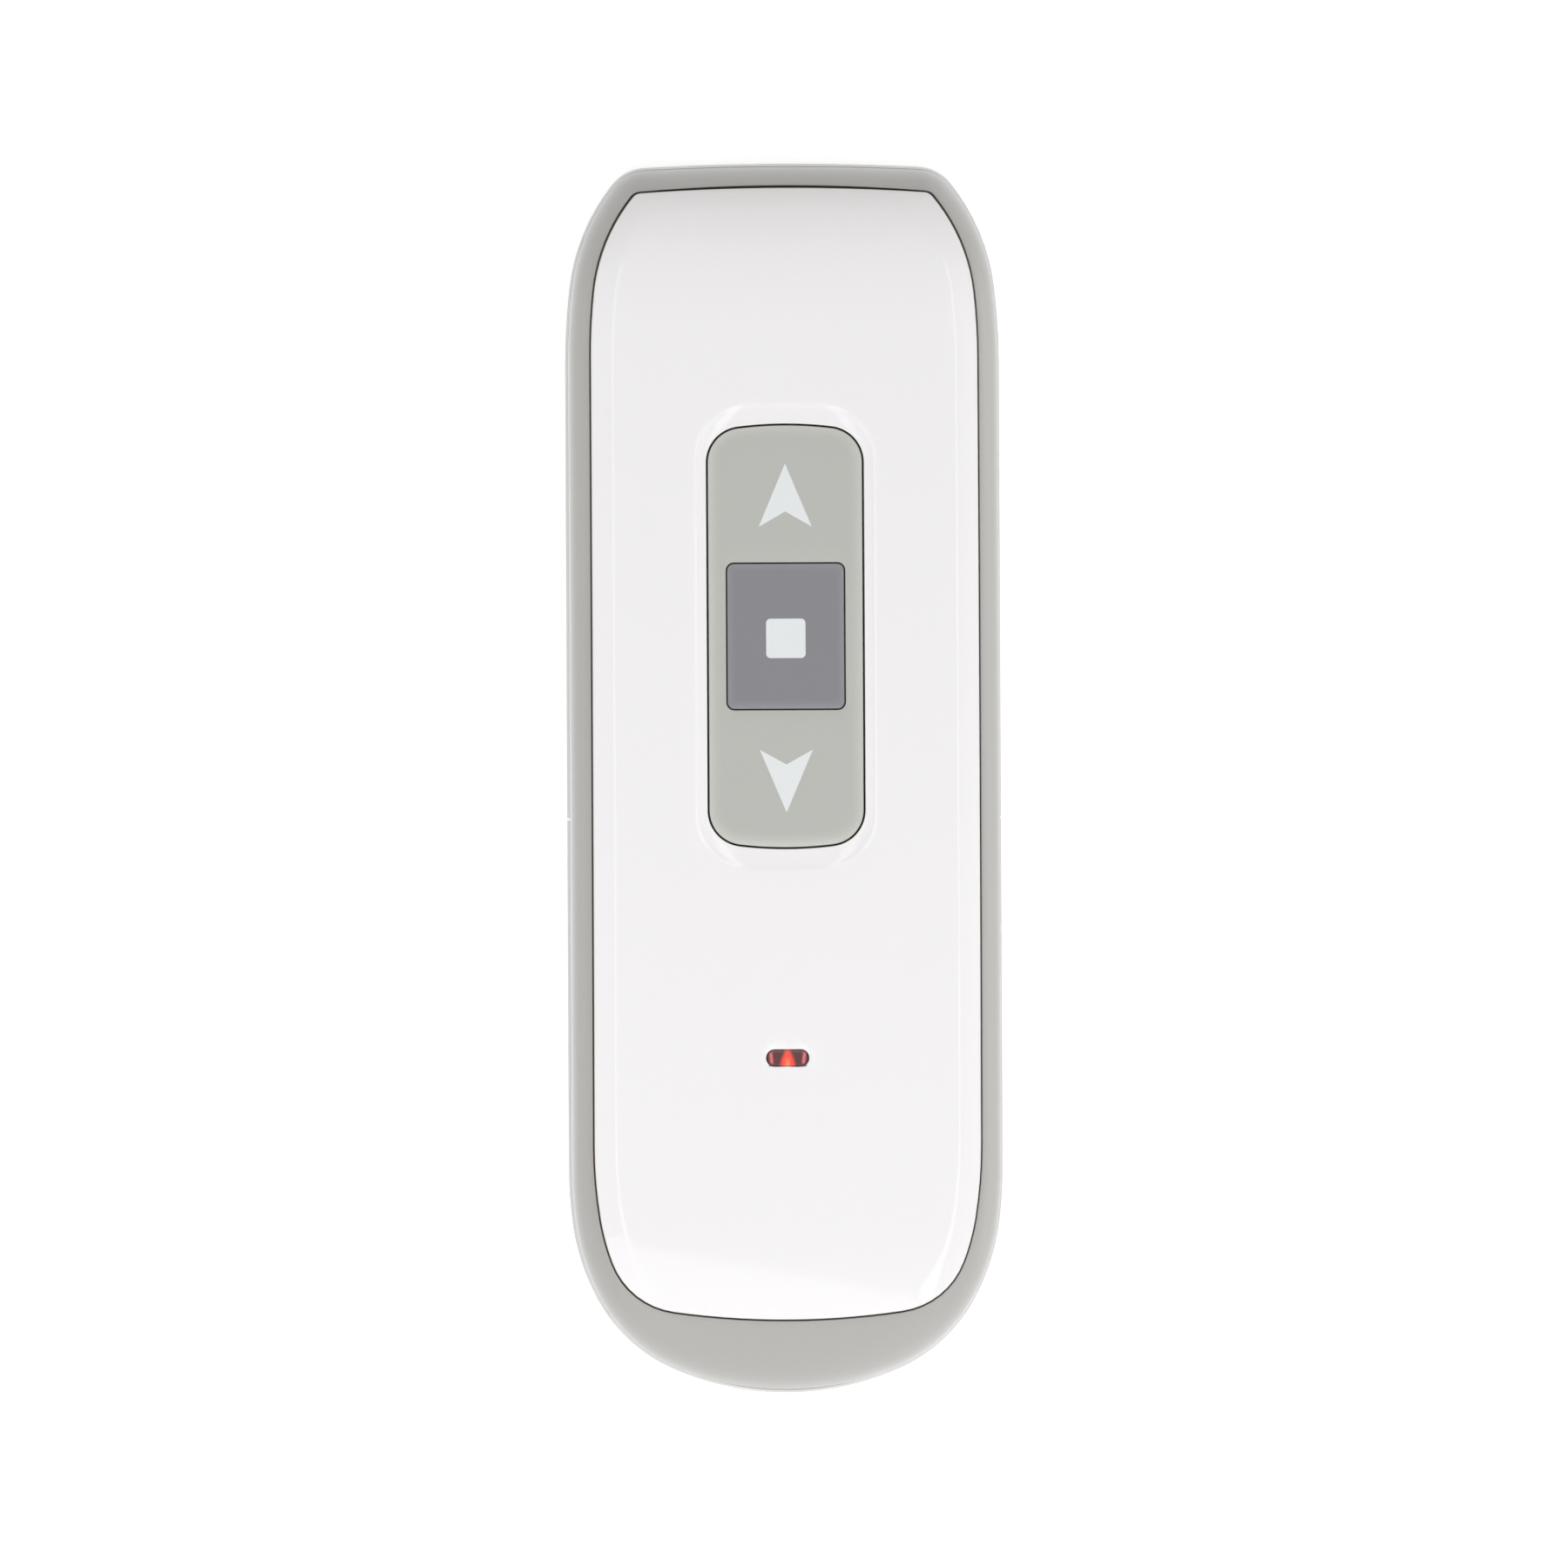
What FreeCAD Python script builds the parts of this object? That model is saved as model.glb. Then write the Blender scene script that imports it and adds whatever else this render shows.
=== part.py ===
import FreeCAD, Part
import math
import os
from collections import namedtuple

Vector = FreeCAD.Vector

# A hand-held radio remote for window blinds, lying on its back with its keys facing up.
# Millimetres. X is the width, Y the length with the up key at +Y, Z the height above the back.
# The origin is under the middle of the remote, on the surface that it lies on.

# The outer outline is the rim of the rear cover. Each end is a chain of tangent arcs.
body_length = 121.9
body_width = 43.0
top_end_shoulder = 19.95
top_end_side_radius = 66.0
top_end_side_turn = 6.6
top_end_shoulder_radius = 20.5
top_end_corner_radius = 4.4
top_end_radius = 260.0
bottom_end_shoulder = 22.45
bottom_end_side_radius = 44.0
bottom_end_side_turn = 7.1
bottom_end_shoulder_radius = 22.0
bottom_end_corner_radius = 15.5
bottom_end_radius = 27.5

# The white faceplate lies in an opening of the grey frame. These give the seam between the two.
side_band = 2.3
top_band = 2.28
bottom_band = 7.27
plate_top_shoulder = 16.87
plate_top_side_radius = 61.0
plate_top_side_turn = 6.0
plate_top_shoulder_radius = 18.2
plate_top_corner_radius = 2.3
plate_top_radius = 167.0
plate_bottom_shoulder = 17.28
plate_bottom_side_radius = 44.7
plate_bottom_side_turn = 9.2
plate_bottom_shoulder_radius = 22.6
plate_bottom_corner_radius = 7.7
plate_bottom_radius = 79.0
plate_seam = 0.25
plate_proud = 0.25
plate_thickness = 1.6

# The top is crowned along the remote, rolls off at both ends and has a rounded edge all round.
overall_height = 15.5
crown_radius = 600.0
end_roll_radius = 45.0
end_roll_length = 15.95
edge_round = 3.9
edge_band_count = 3

# Wall sections and the split between the upper and the lower half of the case.
parting_height = 6.0
parting_seam = 0.1
rim_step = 0.25
frame_wall = 1.3
frame_roof = 2.4
ledge_width = 1.4
ledge_corner_cut = 9.5
seat_gap = 0.05
back_round = 2.6
back_band_count = 3
cover_floor = 2.0
lip_thickness = 0.8
lip_height = 1.4
lip_gap = 0.1
lip_root = 1.0
bead_length = 6.0
bead_height = 0.5
bead_reach = 0.35
bead_gap = 0.1
bead_level = 6.8
bead_end_margin = 26.95
hook_length = 5.0
hook_shank = 1.0
hook_barb = 0.75
hook_barb_height = 1.0
hook_gap = 0.2
hook_bottom_margin = 26.95
hook_top_margin = 24.95
hook_middle_shift = 13.0

# The battery door is the lower end of the back. It slides off towards -Y on ribs in the side walls.
door_length = 56.95
door_wall = 1.3
door_gap = 0.25
door_butt_gap = 0.2
door_rib_height = 0.8
door_rib_reach = 0.55
door_rib_start = 4.0
door_rib_length = 28.0
door_rib_level = 4.7
groove_clearance = 0.15
groove_run_out = 10.0
tray_overlap = 6.0
door_tongue_width = 6.0
door_tongue_length = 5.0
door_tongue_thickness = 0.55
door_tongue_place = 9.5
tongue_clearance = 0.15
thumb_recess_width = 17.0
thumb_recess_length = 9.5
thumb_recess_depth = 0.5
thumb_recess_place = 9.0
thumb_rib_count = 5
thumb_rib_width = 0.8
thumb_rib_height = 0.35
thumb_rib_margin = 1.0

# The circuit board is held between posts of the rear cover and bosses of the frame.
board_bottom = 7.6
board_thickness = 1.2
board_margin = 3.3
board_top_margin = 8.95
board_bottom_margin = 10.95
board_corner_cut = 9.0
rib_place_across = 13.5
rib_end_margin = 6.0
rib_thickness = 1.4
rib_length = 7.0
screw_place_across = 13.5
screw_end_margin = 6.0
screw_shank_diameter = 2.0
screw_head_diameter = 3.8
screw_head_height = 1.2
screw_seat_height = 3.0
screw_length = 8.0
screw_clearance = 0.3
post_side = 5.6

# The keys: a light grey rocker with a window for the dark stop key.
pad_top_margin = 25.97
pad_length = 41.9
pad_width = 15.43
pad_corner_radius = 3.5
pad_end_radius = 38.0
pad_seam = 0.25
pad_sink = 0.1
key_edge_chamfer = 0.2
dish_margin_across = 1.1
dish_margin_along = 2.3
dish_depth = 0.2
rocker_skin = 1.6
rocker_skirt = 1.2
rocker_end_wall = 1.3
rocker_depth = 2.6
plunger_spread = 15.5
plunger_width = 4.0
plunger_length = 5.0
pivot_height = 12.4
pivot_diameter = 1.6
pivot_clearance = 0.05
pivot_tab_length = 3.2
pivot_tab_wall = 1.2
pivot_tab_drop = 0.9
pivot_ear_gap = 0.5
pivot_ear_thickness = 1.3
pivot_ear_length = 4.0
pivot_slot_share = 0.8
stop_length = 14.5
stop_width = 11.7
stop_corner_radius = 0.75
stop_skin = 1.6
stop_depth = 2.4
stop_skirt = 1.1
stop_flange = 0.8
stop_flange_thickness = 0.7
stop_plunger_width = 5.0
key_gap = 0.1

# The silicone mat under the keys, its conductive pills and the printed contacts.
mat_thickness = 0.8
mat_margin = 3.2
mat_corner_radius = 4.0
dome_side = 8.0
dome_corner_cut = 2.0
dome_height = 1.6
dome_wall = 0.8
dome_roof = 1.3
pill_side = 3.8
pill_thickness = 0.35
contact_length = 4.4
contact_width = 2.0
contact_thickness = 0.05
contact_split = 0.5

# The light window and the lamp under it.
lens_bottom_margin = 33.28
lens_length = 4.2
lens_width = 1.8
lens_corner_radius = 0.8
lens_seam = 0.04
lens_sink = 0.05
lens_flange = 0.9
lens_flange_thickness = 0.8
lens_stem_length = 3.0
lens_stem_width = 1.4
lamp_length = 2.0
lamp_width = 1.25
lamp_height = 0.8
lamp_gap = 0.2
lamp_base_share = 0.5
lamp_dome_share = 0.6

# The coin cell in its holder under the board.
cell_door_margin = 18.0
cell_diameter = 24.5
cell_height = 3.0
cell_rim_step = 0.3
cell_cap_diameter = 21.5
cell_clearance = 0.3
holder_wall = 1.6
holder_corner_cut = 6.0
holder_base = 0.7
holder_mouth_width = 15.0
holder_lip_gap = 0.1
contact_sheet = 0.2
contact_slot_gap = 0.1
negative_strip_width = 4.0
negative_strip_length = 16.0
negative_rise = 0.4
negative_prong_length = 2.0
positive_arm_width = 5.0
positive_arm_reach = 3.5
positive_foot_length = 2.8
access_margin = 1.8

# Parts on the board: place along X, gap to the neighbour along Y and sizes.
mcu_place_x = -7.5
mcu_gap = 5.43
mcu_length = 4.9
mcu_width = 4.0
mcu_height = 1.5
mcu_lead_count = 4
mcu_lead_pitch = 1.27
mcu_lead_reach = 1.0
mcu_lead_width = 0.42
mcu_lead_thickness = 0.2
mcu_stand_off = 0.1
mcu_chamfer = 0.2
radio_place_x = 7.5
radio_gap = 0.88
radio_side = 4.0
radio_height = 0.85
crystal_place_x = 7.5
crystal_gap = 2.5
crystal_length = 11.0
crystal_width = 4.6
crystal_height = 3.0
crystal_corner_radius = 2.2
antenna_strip = 1.2
antenna_sheet = 0.5
antenna_width = 24.0
antenna_end_margin = 2.0
antenna_height = 2.0
chip_length = 1.6
chip_width = 0.8
chip_height = 0.5
chip_rows = 2
chip_columns = 4
chip_pitch_across = 3.0
chip_pitch_along = 2.4
chip_place_x = -5.0
chip_end_margin = 12.0

# The pairing button in the back and the switch that it presses.
pair_top_margin = 30.95
pair_diameter = 5.0
pair_clearance = 0.15
pair_flange = 0.9
pair_flange_thickness = 0.6
pair_face_sink = 0.3
pair_flange_gap = 0.1
pair_stem_diameter = 2.6
switch_side = 6.0
switch_height = 3.3
switch_stem_diameter = 3.4
switch_stem_clearance = 0.1
switch_stem_reach = 0.5
switch_chamfer = 0.3

# Sizes that follow from the ones above.
half_length = body_length / 2.0
half_width = body_width / 2.0
board_top = board_bottom + board_thickness
mat_top = board_top + mat_thickness
dome_top = mat_top + dome_height
plate_inset_depth = plate_thickness - plate_proud
lip_inset = rim_step + frame_wall + lip_gap
inner_inset = lip_inset + lip_thickness
tray_inset = door_wall + door_gap
cell_bottom = board_bottom - holder_base - negative_rise - cell_height
switch_bottom = board_bottom - switch_height
frame_height = overall_height - plate_proud
roll_start = half_length - end_roll_length
board_top_end = half_length - board_top_margin
board_bottom_end = board_bottom_margin - half_length
bead_place = half_length - bead_end_margin
hook_place_low = hook_bottom_margin - half_length
hook_place_high = half_length - hook_top_margin
rib_place_along = board_top_end - rib_end_margin
screw_place_along = board_bottom_end + screw_end_margin
door_edge_place = door_length - half_length
pad_centre = half_length - pad_top_margin - pad_length / 2.0
mat_low_end = pad_centre - pad_length / 2.0 - mat_margin
lens_place = lens_bottom_margin - half_length
cell_place = door_edge_place - cell_door_margin
hook_place_middle = (hook_place_low + hook_place_high) / 2.0 - hook_middle_shift
mcu_place_y = mat_low_end - mcu_gap - mcu_length / 2.0
radio_place_y = mat_low_end - radio_gap - radio_side / 2.0
crystal_place_y = radio_place_y - radio_side / 2.0 - crystal_gap - crystal_length / 2.0
antenna_place = board_top_end - antenna_end_margin
chip_place_y = board_bottom_end + chip_end_margin
pair_place = half_length - pair_top_margin
far = 200.0

End = namedtuple("End", "side reach shoulder side_radius side_turn shoulder_radius corner_radius radius")
Outline = namedtuple("Outline", "half_width ends")

rim_outline = Outline(half_width, (
    End(1, half_length, top_end_shoulder, top_end_side_radius, top_end_side_turn,
        top_end_shoulder_radius, top_end_corner_radius, top_end_radius),
    End(-1, half_length, bottom_end_shoulder, bottom_end_side_radius, bottom_end_side_turn,
        bottom_end_shoulder_radius, bottom_end_corner_radius, bottom_end_radius)))
plate_outline = Outline(half_width - side_band, (
    End(1, half_length - top_band, plate_top_shoulder, plate_top_side_radius, plate_top_side_turn,
        plate_top_shoulder_radius, plate_top_corner_radius, plate_top_radius),
    End(-1, half_length - bottom_band, plate_bottom_shoulder, plate_bottom_side_radius,
        plate_bottom_side_turn, plate_bottom_shoulder_radius, plate_bottom_corner_radius,
        plate_bottom_radius)))


def polar(centre, radius, angle):
    return (centre[0] + radius * math.cos(angle), centre[1] + radius * math.sin(angle))


def end_arcs(width, end, inset):
    # Three tangent arcs from the straight side to the end arc, as start, middle and end points.
    side_turn = math.radians(end.side_turn)
    side_centre = (width - end.side_radius, end.reach - end.shoulder)
    shoulder_centre = polar(side_centre, end.side_radius - end.shoulder_radius, side_turn)
    end_centre = (0.0, end.reach - end.radius)
    dx = shoulder_centre[0] - end_centre[0]
    dy = shoulder_centre[1] - end_centre[1]
    spread = math.hypot(dx, dy)
    inner = end.shoulder_radius - end.corner_radius
    outer = end.radius - end.corner_radius
    opening = math.acos((outer ** 2 - inner ** 2 - spread ** 2) / (2.0 * inner * spread))
    shoulder_turn = math.atan2(dy, dx) - opening
    if not side_turn < shoulder_turn < math.pi / 2.0:
        shoulder_turn = math.atan2(dy, dx) + opening
    corner_centre = polar(shoulder_centre, inner, shoulder_turn)
    corner_turn = math.atan2(corner_centre[1] - end_centre[1], corner_centre[0])
    arcs = []
    for centre, radius, start, stop in (
            (side_centre, end.side_radius, 0.0, side_turn),
            (shoulder_centre, end.shoulder_radius, side_turn, shoulder_turn),
            (corner_centre, end.corner_radius, shoulder_turn, corner_turn)):
        angles = (start, (start + stop) / 2.0, stop)
        arcs.append([polar(centre, radius - inset, angle) for angle in angles])
    return arcs


def outline_wire(outline, inset, height):
    # The outline drawn inwards by an even inset, as sixteen tangent lines and arcs.
    def point(xy, mirror, side):
        return Vector(-xy[0] if mirror else xy[0], xy[1] * side, height)

    def quarter(end, mirror):
        arcs = end_arcs(outline.half_width, end, inset)
        return [[point(xy, mirror, end.side) for xy in arc] for arc in arcs]

    edges = []
    corners = []
    for end in outline.ends:
        right = quarter(end, False)
        left = quarter(end, True)
        tip = Vector(0.0, (end.reach - inset) * end.side, height)
        edges += [Part.Arc(*arc).toShape() for arc in right + left]
        edges.append(Part.Arc(right[-1][2], tip, left[-1][2]).toShape())
        corners.append((right[0][0], left[0][0]))
    for start, stop in zip(*corners):
        edges.append(Part.LineSegment(start, stop).toShape())
    return Part.Wire(Part.__sortEdges__(edges))


def outline_prism(outline, inset, low, high):
    return Part.Face(outline_wire(outline, inset, low)).extrude(Vector(0, 0, high - low))


def slab_wire(width, length, corner, end_radius, centre_y, height):
    # A rounded rectangle whose short ends may bow outwards on their own radius.
    half_x = width / 2.0
    half_y = length / 2.0
    corner_x = half_x - corner
    corner_y = half_y - corner
    lean = 0.0
    if end_radius:
        corner_y = half_y - end_radius + math.sqrt((end_radius - corner) ** 2 - corner_x ** 2)
        lean = math.asin(corner_x / (end_radius - corner))
    stop = math.pi / 2.0 - lean
    edges = []
    joints = {}
    for x_side in (1, -1):
        for y_side in (1, -1):
            points = []
            for angle in (0.0, stop / 2.0, stop):
                x, y = polar((corner_x, corner_y), corner, angle)
                points.append(Vector(x * x_side, centre_y + y * y_side, height))
            edges.append(Part.Arc(*points).toShape())
            joints[x_side, y_side] = (points[0], points[2])
        edges.append(Part.LineSegment(joints[x_side, 1][0], joints[x_side, -1][0]).toShape())
    for y_side in (1, -1):
        start = joints[1, y_side][1]
        finish = joints[-1, y_side][1]
        if end_radius:
            tip = Vector(0.0, centre_y + half_y * y_side, height)
            edges.append(Part.Arc(start, tip, finish).toShape())
        else:
            edges.append(Part.LineSegment(start, finish).toShape())
    return Part.Wire(Part.__sortEdges__(edges))


def slab(width, length, corner, end_radius, centre_y, low, high):
    wire = slab_wire(width, length, corner, end_radius, centre_y, low)
    return Part.Face(wire).extrude(Vector(0, 0, high - low))


def pad_slab(grow, low, high):
    end_radius = pad_end_radius + grow
    return slab(pad_width + 2 * grow, pad_length + 2 * grow, pad_corner_radius + grow,
                end_radius, pad_centre, low, high)


def stop_wire(grow, height=0.0):
    corner = max(stop_corner_radius + grow, stop_corner_radius / 2.0)
    return slab_wire(stop_width + 2 * grow, stop_length + 2 * grow, corner, 0.0, pad_centre, height)


def stop_slab(grow, low, high):
    return Part.Face(stop_wire(grow, low)).extrude(Vector(0, 0, high - low))


def block(x_low, x_high, y_low, y_high, z_low, z_high):
    return Part.makeBox(x_high - x_low, y_high - y_low, z_high - z_low, Vector(x_low, y_low, z_low))


def disc(diameter, x, y, low, high):
    return Part.makeCylinder(diameter / 2.0, high - low, Vector(x, y, low), Vector(0, 0, 1))


def fused(shapes):
    joined = shapes[0].fuse(shapes[1:]) if len(shapes) > 1 else shapes[0]
    return joined.removeSplitter()


def mirrored(shape):
    return shape.mirror(Vector(0, 0, 0), Vector(1, 0, 0))


def surface_height(y, depth):
    # Height of the crowned top over a place along the remote, at a depth under the frame's surface.
    lean = math.asin(roll_start / crown_radius)
    radius = crown_radius - depth
    roll = end_roll_radius - depth
    if abs(y) <= radius * math.sin(lean):
        return frame_height - crown_radius + math.sqrt(radius ** 2 - y ** 2)
    past = abs(y) - (crown_radius - end_roll_radius) * math.sin(lean)
    centre = frame_height - crown_radius + (crown_radius - end_roll_radius) * math.cos(lean)
    return centre + math.sqrt(roll ** 2 - past ** 2)


def crown(depth):
    # Everything under the crowned top: a long arc with a tight arc at each end, drawn across the remote.
    lean = math.asin(roll_start / crown_radius)
    reach = half_length + 1.0
    shoulder = (crown_radius - depth) * math.sin(lean)
    middle = (shoulder + reach) / 2.0
    side = body_width
    floor = -2.0 * overall_height

    def point(y):
        return Vector(-side, y, surface_height(y, depth))

    section = [
        Part.Arc(point(-shoulder), point(0.0), point(shoulder)).toShape(),
        Part.Arc(point(shoulder), point(middle), point(reach)).toShape(),
        Part.LineSegment(point(reach), Vector(-side, reach, floor)).toShape(),
        Part.LineSegment(Vector(-side, reach, floor), Vector(-side, -reach, floor)).toShape(),
        Part.LineSegment(Vector(-side, -reach, floor), point(-reach)).toShape(),
        Part.Arc(point(-reach), point(-middle), point(-shoulder)).toShape()]
    return Part.Face(Part.Wire(section)).extrude(Vector(2.0 * side, 0, 0))


def edges_on(solid, wire, low):
    # Edges above a height whose plan lies on a flat wire at height zero.
    found = []
    for edge in solid.Edges:
        points = edge.discretize(5)
        if min(p.z for p in points) < low:
            continue
        plan = [Vector(p.x, p.y, 0.0) for p in points]
        if plan[0].distanceToPoint(plan[-1]) < 0.001:
            continue
        if all(Part.Vertex(p).distToShape(wire)[0] < 0.01 for p in plan):
            found.append(edge)
    return found


def level_edges(solid, height):
    return [edge for edge in solid.Edges
            if abs(edge.BoundBox.ZMin - height) < 0.01 and abs(edge.BoundBox.ZMax - height) < 0.01]


def is_upright(face):
    u_low, u_high, v_low, v_high = face.ParameterRange
    return abs(face.normalAt((u_low + u_high) / 2.0, (v_low + v_high) / 2.0).z) < 0.001


def rounding_steps(radius, count):
    # Inset and drop of each edge of the bands that round a corner.
    turns = [math.pi / 2.0 * number / count for number in range(count + 1)]
    return [(radius * (1.0 - math.cos(turn)), radius * (1.0 - math.sin(turn))) for turn in turns]


upper_forms = {}


def upper_form(depth):
    # The solid under the frame's outer surface, drawn inwards by an even depth.
    # Its edge is rounded by ruled bands between wires that follow the crown.
    key = round(depth, 4)
    if key in upper_forms:
        return upper_forms[key].copy()
    rounding = min(edge_round, top_end_corner_radius - rim_step - 0.05) - depth
    wires = []
    steps = []
    for inset, drop in rounding_steps(rounding, edge_band_count):
        plan_inset = rim_step + depth + inset
        step = outline_prism(rim_outline, plan_inset, 0.0, far).common(crown(depth + drop))
        edges = edges_on(step, outline_wire(rim_outline, plan_inset, 0.0), 0.1)
        wires.append(Part.Wire(Part.__sortEdges__(edges)))
        steps.append(step)
    walls = [face for face in steps[0].Faces if is_upright(face) or face.BoundBox.ZMax < 0.1]
    roof = [face for face in steps[-1].Faces if face.BoundBox.ZMin > 0.1 and not is_upright(face)]
    bands = Part.makeLoft(wires, False, True).Faces
    shell = Part.makeShell(walls + bands + roof)
    shell.sewShape()
    upper_forms[key] = Part.makeSolid(Part.Shell(shell.Faces))
    return upper_forms[key].copy()


def lower_form():
    # The solid inside the back's outer surface, from the lower edge's rounding up to the parting line.
    wires = [outline_wire(rim_outline, step, drop) for step, drop in rounding_steps(back_round, back_band_count)]
    wires.insert(0, outline_wire(rim_outline, 0.0, parting_height - parting_seam / 2.0))
    return Part.makeLoft(wires, True, True)


def cut_corner_prism(half_x, y_low, y_high, cut, low, high):
    # A rectangle about the middle line with its four corners cut at 45 degrees.
    corners = [
        (half_x, y_low + cut), (half_x, y_high - cut), (half_x - cut, y_high), (cut - half_x, y_high),
        (-half_x, y_high - cut), (-half_x, y_low + cut), (cut - half_x, y_low), (half_x - cut, y_low)]
    outline = Part.makePolygon([Vector(x, y, low) for x, y in corners + corners[:1]])
    return Part.Face(outline).extrude(Vector(0, 0, high - low))


def screw_places():
    return [(side * screw_place_across, screw_place_along) for side in (1, -1)]


def screw_post(x, y, low, high):
    half = post_side / 2.0
    return block(x - half, x + half, y - half, y + half, low, high)


def rib_places():
    return [(side * rib_place_across, rib_place_along) for side in (1, -1)]


def board_rib(side, low, high):
    half = rib_thickness / 2.0
    x = side * rib_place_across
    return block(x - half, x + half, rib_place_along - rib_length / 2.0,
                 rib_place_along + rib_length / 2.0, low, high)


def side_web(x, y, low, high):
    # A web from a post or rib out to the side wall.
    wall = math.copysign(half_width - frame_wall, x)
    half = rib_thickness / 2.0
    return block(min(x, wall), max(x, wall), y - half, y + half, low, high)


def snap_beads(grow):
    # Beads on the lip that click into grooves of the frame, or with grow the grooves.
    half = bead_length / 2.0 + grow
    low = bead_level - bead_height / 2.0 - grow
    high = bead_level + bead_height / 2.0 + grow
    reach = lip_inset - bead_reach - grow
    root = lip_inset + lip_thickness / 2.0
    side_bead = block(half_width - root, half_width - reach, bead_place - half, bead_place + half, low, high)
    end_bead = block(-half, half, half_length - root, half_length - reach, low, high)
    return [side_bead, mirrored(side_bead), end_bead]


def make_grip_frame():
    bottom = parting_height + parting_seam / 2.0
    seat_depth = plate_inset_depth + seat_gap
    hollow = outline_prism(rim_outline, rim_step + frame_wall, 0.0, far).common(crown(frame_roof))
    pocket = outline_prism(plate_outline, -plate_seam / 2.0, 0.0, far).cut(crown(seat_depth))
    window = cut_corner_prism(
        plate_outline.half_width - ledge_width, bottom_band + ledge_width - half_length,
        half_length - top_band - ledge_width, ledge_corner_cut, 0.0, far)
    frame = upper_form(0.0).cut([hollow, pocket, window, block(-far, far, -far, far, -far, bottom)])
    # Posts and ribs stand on the board and grow out of the side walls.
    inside = crown((seat_depth + frame_roof) / 2.0)
    low = board_top + seat_gap
    stays = [screw_post(x, y, low, far) for x, y in screw_places()]
    stays += [board_rib(side, low, far) for side in (1, -1)]
    stays += [side_web(x, y, low, far) for x, y in screw_places() + rib_places()]
    frame = frame.fuse([stay.common(inside) for stay in stays])
    bore_top = screw_seat_height + screw_length + screw_clearance
    bores = [disc(screw_shank_diameter, x, y, 0.0, bore_top) for x, y in screw_places()]
    return frame.cut(bores + snap_beads(bead_gap))


def make_hook(side, y):
    # A snap hook under the faceplate that catches the lower side of the frame's ledge.
    outer = plate_outline.half_width - ledge_width - hook_gap
    catch = surface_height(y, frame_roof) - hook_gap
    low = catch - hook_barb_height
    start = y - hook_length / 2.0
    corners = [
        (outer - hook_shank, low), (outer, low), (outer + hook_barb, catch - hook_barb_height / 3.0),
        (outer + hook_barb, catch), (outer, catch), (outer, overall_height),
        (outer - hook_shank, overall_height)]
    profile = Part.makePolygon([Vector(x * side, start, z) for x, z in corners + corners[:1]])
    return Part.Face(profile).extrude(Vector(0, hook_length, 0))


def make_pivot_ear(side):
    # A lug under the faceplate with a snap-in hole for the rocker's pin.
    inner = pad_width / 2.0 - pad_seam / 2.0 + pivot_ear_gap
    low = pivot_height - pivot_diameter
    ear = block(inner, inner + pivot_ear_thickness, pad_centre - pivot_ear_length / 2.0,
                pad_centre + pivot_ear_length / 2.0, low, overall_height)
    bore_radius = pivot_diameter / 2.0 + pivot_clearance
    bore = Part.makeCylinder(bore_radius, far, Vector(0, pad_centre, pivot_height), Vector(1, 0, 0))
    slot = pivot_diameter * pivot_slot_share / 2.0
    mouth = block(0.0, far, pad_centre - slot, pad_centre + slot, 0.0, pivot_height)
    ear = ear.cut(bore).cut(mouth)
    return ear if side > 0 else mirrored(ear)


def make_faceplate():
    outside = outline_prism(plate_outline, plate_seam / 2.0, 0.0, far).common(upper_form(-plate_proud))
    plate = outside.cut(crown(plate_inset_depth))
    dish = slab(pad_width + 2 * dish_margin_across, pad_length + 2 * dish_margin_along,
                pad_corner_radius + dish_margin_along, 0.0, pad_centre, 0.0, far)
    plate = plate.cut(dish.cut(crown(dish_depth - plate_proud)))
    plate = plate.cut(pad_slab(pad_seam / 2.0, 0.0, far))
    plate = plate.cut(slab(lens_length + 2 * lens_seam, lens_width + 2 * lens_seam,
                           lens_corner_radius + lens_seam, 0.0, lens_place, 0.0, far))
    fittings = []
    for side in (1, -1):
        fittings.append(make_pivot_ear(side))
        for y in (hook_place_low, hook_place_middle, hook_place_high):
            fittings.append(make_hook(side, y))
    under = crown(plate_inset_depth - seat_gap)
    plate = plate.fuse([fitting.common(under) for fitting in fittings])
    return plate.removeSplitter()


def chamfered_cap(solid, rim_wire, depth):
    # A key's blank cut to the crown, with its upper edge broken all round.
    cap = solid.common(crown(depth))
    return cap.makeChamfer(key_edge_chamfer, edges_on(cap, rim_wire, parting_height))


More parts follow.
